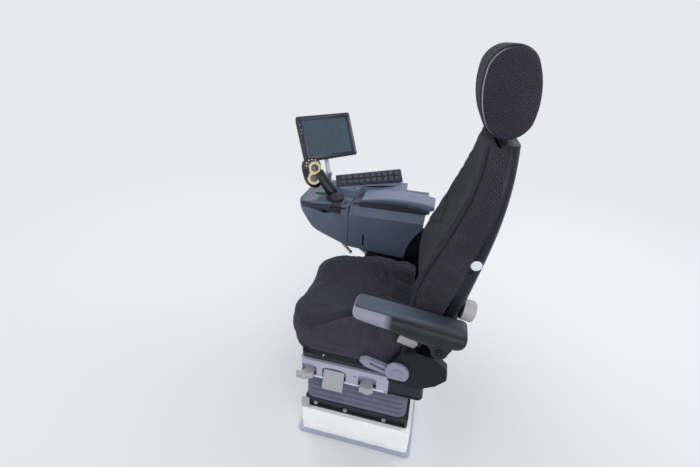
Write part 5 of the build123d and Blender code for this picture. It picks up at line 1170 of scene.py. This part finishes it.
class CAB_SEAT_OT_console(bpy.types.Operator):
    """Finish the console, its controls and the touch terminal, and mark the keys"""

    bl_idname = "cab_seat.console"
    bl_label = "Console"

    # the grip's flat face: a point of it, its normal, and how far its pad is turned on it
    FACE, FACE_NORMAL, LEAN = (-0.3356, -0.3501, 0.8805), (0.794, 0.422, 0.438), math.radians(-9.5)
    # the pad's lobes: radius, distance from the middle, and half width of the waist between them
    LOBE, LOBE_OUT, WAIST = 0.0285, 0.0225, 0.0225
    # across and up from the face's middle
    PUSH_BUTTONS = (
        (-0.033, 0.032), (-0.030, 0.045), (-0.020, 0.056), (-0.006, 0.059), (0.008, 0.057), (0.017, 0.048),
    )
    # the keypad's plane: origin, turn, slope, and the size that its solid has
    KEYS_AT, KEYS_TURN, KEYS_SLOPE = (-0.496, -0.126, 0.8153), math.radians(23.5), math.radians(38)
    KEYS_LONG, KEYS_NEAR, KEYS_FRONT, KEYS_REAR = 0.296, 0.022, 0.024, 0.054
    KEY_COLUMNS, KEY_PITCH = 10, 0.028
    # how much wider the keypad's frame and its keys are than their solids, and how far they shift
    FRAME_WIDER, FRAME_SHIFT, KEYS_WIDER, KEYS_SHIFT = 1.085, -0.003, 1.03, 0.001
    # the corner radius of the nose's painted shade, a dark sheet in its groove, how far it stands out, and
    # its rear end
    BAND_CORNER, BAND_OUT, BAND_REAR = 0.052, 0.0008, -0.262
    # half length and depth of the panel's slot, drawn as a flat sheet of painted shade, its middle and
    # direction
    SLOT_HALF, SLOT_DEEP, SLOT_AT, SLOT_RUN = 0.0865, 0.0125, (-0.4865, -0.0805, 0.7960), (-0.372, 0.928, 0)
    # y and z round the inner cover, and its x
    COVER = (
        (-0.020, 0.508), (0.172, 0.508), (0.172, 0.700), (0.060, 0.715), (-0.060, 0.640), (-0.060, 0.560),
    )
    COVER_X = -0.3060
    # direction in which the terminal faces, and its lamps
    TERMINAL_NORMAL = (0.612, 0.668, 0.423)
    LAMPS = ((-0.4888, -0.4705, 1.0469), (-0.4819, -0.4637, 1.0263), (-0.4765, -0.4596, 1.0119))

    def execute(self, context):
        tint = looks()
        slate = moulded("console_moulding", tint.console, 0.44, wear=0.25)
        dark = moulded("dark_moulding", tint.dark, 0.5, wear=0.2, shine=0.4, dust=0.02)
        black = moulded("joystick_moulding", shade(tint.black, 1.5), 0.34, wear=0.1, shine=0.35, dust=0.01)
        light = moulded("switch_moulding", shade(tint.light, 1.3), 0.4)
        keys = moulded("key_moulding", tint.keys, 0.36, grain=1500.0, wear=0.15, dust=0.02)
        bezel = moulded("terminal_moulding", tint.bezel, 0.34, grain=1300.0, wear=0.04, shine=0.4, dust=0.01)
        finishes = {
            "console_body": slate, "console_band": dark, "console_lid": foam_skin("lid_skin", tint.lid, 0.46),
            "switch_panel": moulded("panel_moulding", tint.panel, 0.44), "joystick_pod": dark,
            "joystick_boot": rubber("boot_rubber", shade(tint.black, 1.6)),
            "green_button": glossy("green_gloss", tint.green),
            "console_levers": plated("lever_metal", tint.light),
            "console_guide": dark, "terminal_post": plated("post_metal", tint.zinc),
            "terminal_neck": plated("neck_metal", tint.zinc, 0.4),
            "terminal_screen": display("screen_glass", tint.screen),
        }
        for node, material in finishes.items():
            dress(node, material)
        reshaped("console_nose", "nose_moulding", "console", slate, self.nose)
        # painted shade: a dark sheet in the groove under the nose's top plate
        self.nose_painted_shade(dark)
        reshaped("terminal_case", "terminal_frame", "terminal", bezel, self.thin_case)
        reshaped("keypad", "keypad_frame", "console", dark, self.wide_frame)
        reshaped("keypad_keys", "keypad_caps", "console", keys, self.wide_keys)
        self.key_rings(tint)
        reshaped("joystick_grip", "grip_moulding", "console", black, self.grip)
        reshaped("joystick_stick", "stick_moulding", "console", black, self.thicker)
        self.grip_face(tint, light)
        self.small_parts(tint)
        return {"FINISHED"}

    def nose(self, points):
        """The nose's front leans forward towards its top."""
        forward = eased(points[:, 2], 0.655, 0.730) * eased(-points[:, 1], 0.325, 0.380)
        points[:, 1] -= 0.024 * forward
        return points

    def nose_painted_shade(self, dark):
        """A dark sheet round the nose, under its top plate: painted shade in the nose's groove."""
        low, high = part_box("console_nose")
        reach = self.BAND_CORNER + self.BAND_OUT
        left, right, front = low.x + self.BAND_CORNER, high.x - self.BAND_CORNER, low.y + self.BAND_CORNER
        turns = [math.pi / 2 * step / 12 for step in range(13)]
        outline = [(low.x - self.BAND_OUT, self.BAND_REAR)]
        outline += [(left - reach * math.cos(turn), front - reach * math.sin(turn)) for turn in turns]
        outline += [(right + reach * math.sin(turn), front - reach * math.cos(turn)) for turn in turns]
        outline.append((high.x + self.BAND_OUT, self.BAND_REAR))
        mesh = slab(outline, high.z - 0.027, high.z - 0.008)
        move_points(mesh, self.nose(points_of(mesh)))
        joined("nose_painted_shade", [(mesh, Matrix())], "console", dark, smooth=False)

    def thin_case(self, points):
        """The terminal's case narrows towards its rear."""
        normal = np.array(Vector(self.TERMINAL_NORMAL).normalized())
        depth = points @ normal
        behind = depth.max() - depth
        centre = points.mean(axis=0)
        flat = (points - centre) - ((points - centre) @ normal)[:, None] * normal
        return points - flat * np.clip(2.6 * (behind - 0.006), 0, 0.11)[:, None]

    def keys_frame(self):
        """Origin of the keypad's plane, and its directions along, up and out."""
        turn, slope = self.KEYS_TURN, self.KEYS_SLOPE
        right = np.array((-math.sin(turn), math.cos(turn), 0.0))
        out = np.array((math.cos(turn) * math.sin(slope), math.sin(turn) * math.sin(slope), math.cos(slope)))
        return np.array(self.KEYS_AT), right, np.cross(out, right), out

    def keypad(self, points, wider, shift):
        """The keypad widens more towards the rear than its solid does."""
        origin, right, up, out = self.keys_frame()
        x, y, z = (points - origin) @ right, (points - origin) @ up, (points - origin) @ out
        along = (x + self.KEYS_LONG / 2) / self.KEYS_LONG
        far = self.KEYS_FRONT + (self.KEYS_REAR - self.KEYS_FRONT) * along
        share = (y + self.KEYS_NEAR) / (far + self.KEYS_NEAR)
        near, new_far = -0.021 + 0.014 * along, 0.036 + 0.028 * along
        x, y = wider * x + shift, near + share * (new_far - near)
        return origin + x[:, None] * right + y[:, None] * up + z[:, None] * out

    def wide_frame(self, points):
        return self.keypad(points, self.FRAME_WIDER, self.FRAME_SHIFT)

    def wide_keys(self, points):
        return self.keypad(points, self.KEYS_WIDER, self.KEYS_SHIFT)

    def key_rings(self, tint):
        """A printed ring on each key."""
        origin, right, up, out = self.keys_frame()
        ring = ring_mesh(0.0052, 0.0068, 0.0004)
        parts = []
        for column in range(self.KEY_COLUMNS):
            x = (column - (self.KEY_COLUMNS - 1) / 2) * self.KEY_PITCH
            along = (x + self.KEYS_LONG / 2) / self.KEYS_LONG
            deep = self.KEYS_FRONT + (self.KEYS_REAR - self.KEYS_FRONT) * along + self.KEYS_NEAR - 0.010
            for row in (0.25, 0.75):
                flat = origin + x * right + (-self.KEYS_NEAR + 0.005 + row * deep) * up + 0.0041 * out
                parts.append((ring, facing(self.wide_keys(np.array([flat]))[0], out, right)))
        material = moulded("ring_print", tint.marks, 0.5, grain=2000.0, wear=0.0)
        joined("key_rings", parts, "console", material)

    def face_axes(self):
        """The grip face's directions out, up and to the right."""
        normal = np.array(Vector(self.FACE_NORMAL).normalized())
        up = np.array((0.0, 0.0, 1.0)) - normal[2] * normal
        up /= np.linalg.norm(up)
        return normal, up, np.cross(up, normal)

    def grip(self, points):
        """The grip is broader towards the front and lower than its solid."""
        normal, up, right = self.face_axes()
        centre = np.array(self.FACE)
        u, v, w = (points - centre) @ right, (points - centre) @ up, (points - centre) @ normal
        u = np.where(u < 0, 1.36 * u, 1.02 * u)
        v = np.where(v > 0, 0.80 * v, 0.88 * v)
        return centre + u[:, None] * right + v[:, None] * up + w[:, None] * normal

    def thicker(self, points):
        """The stick is stouter than its solid."""
        centre = points.mean(axis=0)
        axis = np.linalg.svd(points - centre, full_matrices=False)[2][0]
        along = (points - centre) @ axis
        flat = points - centre - along[:, None] * axis
        return points + 0.55 * flat

    def grip_face(self, tint, light):
        """The beige figure-of-eight pad, its two round buttons and the arc of small buttons."""
        normal, up, right = self.face_axes()
        grip = points_of(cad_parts["joystick_grip"].data)
        centre = np.array(self.FACE)
        centre = centre + ((grip - centre) @ normal).max() * normal
        outline = []
        for step in range(72):
            turn = 2 * math.pi * step / 72
            reach = self.lobe(turn)
            outline.append((reach * math.cos(turn), reach * math.sin(turn)))
        tilt = facing(centre - 0.001 * normal, normal, right) @ Matrix.Rotation(self.LEAN, 4, "Z")
        pad = joined("grip_face_pad", [(slab(outline, 0.0, 0.0042, 0.0014), tilt)], "console",
                     moulded("pad_moulding", tint.beige, 0.38))
        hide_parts("grip_pad")
        button = slab(disc_outline(0.0160, 40), 0.003, 0.0085, 0.0028)
        dimple = slab(disc_outline(0.0085, 32), 0.0080, 0.0092, 0.0006)
        parts = [
            (part, tilt @ Matrix.Translation((0, place, 0))) for place in (-self.LOBE_OUT, self.LOBE_OUT)
            for part in (button, dimple)
        ]
        material = glossy("button_gloss", shade(tint.dark, 0.9), 0.2)
        buttons = joined("grip_face_buttons", parts, "console", material)
        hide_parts("grip_buttons")
        dot = slab(disc_outline(0.0036, 20), 0.0, 0.0036, 0.001)
        spots = [(dot, facing(centre + u * right + v * up, normal, right)) for u, v in self.PUSH_BUTTONS]
        dots = joined("grip_push_buttons", spots, "console", light)
        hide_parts("grip_switches")

    def lobe(self, turn):
        """Reach of the pad's outline in one direction from its middle."""
        across, along = abs(math.cos(turn)), abs(math.sin(turn))
        inside = self.LOBE**2 - (self.LOBE_OUT * across) ** 2
        lobe = self.LOBE_OUT * along + math.sqrt(max(inside, 0.0))
        waist = self.WAIST / max(across, 0.02)
        return lobe if along > 0.62 else min(lobe, waist * (1 + 0.10 * along))

    def small_parts(self, tint):
        """The panel's lens-shaped slot as a flat black sheet of painted shade, the side slot's backing, the
        inner cover and the terminal's lamps.
        """
        black = moulded("slot_black", shade(tint.black, 0.6), 0.5, wear=0.0, shine=0.2)
        # painted shade: the slot's recess is a flat black sheet on the panel
        half, deep = self.SLOT_HALF, self.SLOT_DEEP
        upper = [(half * t, deep * (1 - t * t)) for t in np.linspace(1, -1, 21)]
        lower = [(half * t, -deep * 0.75 * (1 - t * t)) for t in np.linspace(-1, 1, 21)][1:-1]
        lens = (slab(upper + lower, 0.0, 0.0008, 0.0003), facing(self.SLOT_AT, (0, 0, 1), self.SLOT_RUN))
        joined("panel_slot_painted_shade", [lens], "console", black)
        wall = slab(plate_outline(-0.012, 0.012, -0.040, 0.040), 0.0, 0.0015)
        place = facing((-0.2917, -0.108, 0.620), (1, 0, 0), (0, 1, 0))
        joined("slot_backing", [(wall, place)], "console", black, smooth=False)
        cover = (slab(self.COVER, 0.0, 0.006, 0.002), facing((self.COVER_X, 0, 0), (1, 0, 0), (0, 1, 0)))
        joined("inner_cover", [cover], "console", black)
        lamp = slab(disc_outline(0.0026, 16), 0.0, 0.0008, 0.0003)
        normal = Vector(self.TERMINAL_NORMAL).normalized()
        lamps = [
            (lamp, facing(Vector(spot) - 0.0003 * normal, normal, (-0.675, 0.737, 0))) for spot in self.LAMPS
        ]
        material = moulded("lamp_print", (0.32, 0.36, 0.42), 0.4, grain=2000.0, wear=0.0)
        joined("terminal_lamps", lamps, "terminal", material)


class CAB_SEAT_OT_stage(bpy.types.Operator):
    """Set the camera at the photographer's place, with a pale floor and soft lamps"""

    bl_idname = "cab_seat.stage"
    bl_label = "Stage"

    def execute(self, context):
        scene, stage = context.scene, context.scene.cab_seat_stage
        data = bpy.data.cameras.new("camera")
        data.lens = stage.focal
        data.sensor_width = 36.0
        data.clip_start = 0.02
        camera = bpy.data.objects.new("camera", data)
        scene.collection.objects.link(camera)
        forward = Vector(stage.forward).normalized()
        up = (Vector(stage.up) - Vector(stage.up).dot(forward) * forward).normalized()
        turn = Matrix((forward.cross(up), up, -forward)).transposed().to_4x4()
        turn.translation = stage.eye
        camera.matrix_world = turn
        scene.camera = camera
        self.floor(scene, stage)
        self.world(scene, stage)
        aim = Vector((-0.1, 0.0, 0.6))
        for name, place, side, power in (
            ("key_lamp", (-1.6, -2.6, 3.4), 2.6, stage.key),
            ("fill_lamp", (2.8, 1.2, 2.6), 2.4, stage.fill),
            ("rim_lamp", (-2.4, 2.4, 2.6), 2.0, stage.fill),
        ):
            self.lamp(scene, name, Vector(place), aim, side, power)
        scene.view_settings.view_transform = "Standard"
        return {"FINISHED"}

    def lamp(self, scene, name, place, aim, side, power):
        """A square lamp that shines at aim."""
        data = bpy.data.lights.new(name, "AREA")
        data.size = side
        data.energy = power
        lamp = bpy.data.objects.new(name, data)
        scene.collection.objects.link(lamp)
        lamp.location = place
        lamp.rotation_euler = (aim - place).to_track_quat("-Z", "Y").to_euler()

    def floor(self, scene, stage):
        """A plain floor, just under the floor plate."""
        half = 9.0
        mesh = bpy.data.meshes.new("floor")
        corners = [(x, y, 0) for x, y in plate_outline(-half, half, -half, half)]
        mesh.from_pydata(corners, [], [(0, 1, 2, 3)])
        floor = bpy.data.objects.new("floor", mesh)
        scene.collection.objects.link(floor)
        floor.location.z = -0.0006
        finish = Finish("floor_finish", 0.85)
        mesh.materials.append(finish.paint(
            finish.mix(finish.noise(2.0, 3.0), shade(stage.floor, 0.985), shade(stage.floor, 1.015)),
            finish.span(finish.noise(8.0, 3.0), 0.3, 0.7, 0.8, 0.9),
        ))
        self.fade(finish, stage)

    def fade(self, finish, stage):
        """Far from the seat the camera sees the floor in the backdrop's colour, so no horizon shows."""
        away = finish.node("ShaderNodeVectorMath", operation="LENGTH")
        finish.feed(away.inputs[0], finish.place)
        far = finish.node("ShaderNodeMapRange", interpolation_type="SMOOTHSTEP")
        finish.feed(far.inputs["Value"], away.outputs["Value"])
        far.inputs["From Min"].default_value = 0.9
        far.inputs["From Max"].default_value = 4.0
        camera_ray = finish.node("ShaderNodeLightPath").outputs["Is Camera Ray"]
        seen = finish.math("MULTIPLY", far.outputs["Result"], camera_ray)
        glow = finish.node("ShaderNodeEmission")
        glow.inputs["Color"].default_value = (*stage.backdrop, 1.0)
        mix = finish.node("ShaderNodeMixShader")
        finish.feed(mix.inputs[0], seen)
        finish.feed(mix.inputs[1], finish.shader.outputs[0])
        finish.feed(mix.inputs[2], glow.outputs[0])
        finish.feed(finish.tree.nodes["Material Output"].inputs["Surface"], mix.outputs[0])

    def world(self, scene, stage):
        """Even pale light, in front of which camera, transmission and glossy rays see the backdrop."""
        world = bpy.data.worlds.new("world")
        scene.world = world
        world.use_nodes = True
        nodes, links = world.node_tree.nodes, world.node_tree.links
        lit = nodes["Background"]
        lit.inputs["Color"].default_value = (0.93, 0.96, 1.0, 1.0)
        lit.inputs["Strength"].default_value = stage.sky
        seen = nodes.new("ShaderNodeBackground")
        seen.inputs["Color"].default_value = (*stage.backdrop, 1.0)
        path = nodes.new("ShaderNodeLightPath")
        either = path.outputs["Is Camera Ray"]
        for kind in ("Is Transmission Ray", "Is Glossy Ray"):
            total = nodes.new("ShaderNodeMath")
            total.operation = "ADD"
            total.use_clamp = True
            links.new(either, total.inputs[0])
            links.new(path.outputs[kind], total.inputs[1])
            either = total.outputs[0]
        mix = nodes.new("ShaderNodeMixShader")
        links.new(either, mix.inputs[0])
        links.new(lit.outputs[0], mix.inputs[1])
        links.new(seen.outputs[0], mix.inputs[2])
        links.new(mix.outputs[0], nodes["World Output"].inputs["Surface"])


OPERATORS = (
    CAB_SEAT_OT_stage, CAB_SEAT_OT_headrest, CAB_SEAT_OT_backrest, CAB_SEAT_OT_cushion, CAB_SEAT_OT_armrest,
    CAB_SEAT_OT_bellows, CAB_SEAT_OT_mouldings, CAB_SEAT_OT_console,
)


class CAB_SEAT_PT_sidebar(bpy.types.Panel):
    """Settings and steps of the seat's looks"""

    bl_label = "Cab Seat"
    bl_idname = "CAB_SEAT_PT_sidebar"
    bl_space_type = "VIEW_3D"
    bl_region_type = "UI"
    bl_category = "Cab Seat"

    def draw(self, context):
        scene = context.scene
        for operator in OPERATORS:
            self.layout.operator(operator.bl_idname)
        for group in (scene.cab_seat_sizes, scene.cab_seat_colours, scene.cab_seat_stage):
            box = self.layout.box()
            for name in type(group).__annotations__:
                box.prop(group, name)


GROUPS = (
    ("cab_seat_colours", SeatColours), ("cab_seat_sizes", SeatSizes), ("cab_seat_stage", StageSettings),
)


def register():
    for name, group in GROUPS:
        bpy.utils.register_class(group)
        setattr(bpy.types.Scene, name, PointerProperty(type=group))
    for operator in OPERATORS:
        bpy.utils.register_class(operator)
    bpy.utils.register_class(CAB_SEAT_PT_sidebar)


def unregister():
    bpy.utils.unregister_class(CAB_SEAT_PT_sidebar)
    for operator in reversed(OPERATORS):
        bpy.utils.unregister_class(operator)
    for name, group in reversed(GROUPS):
        delattr(bpy.types.Scene, name)
        bpy.utils.unregister_class(group)


def main():
    register()
    bpy.ops.cab_seat.stage()
    bpy.ops.cab_seat.headrest()
    bpy.ops.cab_seat.backrest()
    bpy.ops.cab_seat.cushion()
    bpy.ops.cab_seat.armrest()
    bpy.ops.cab_seat.bellows()
    bpy.ops.cab_seat.mouldings()
    bpy.ops.cab_seat.console()


if __name__ == "__main__":
    main()
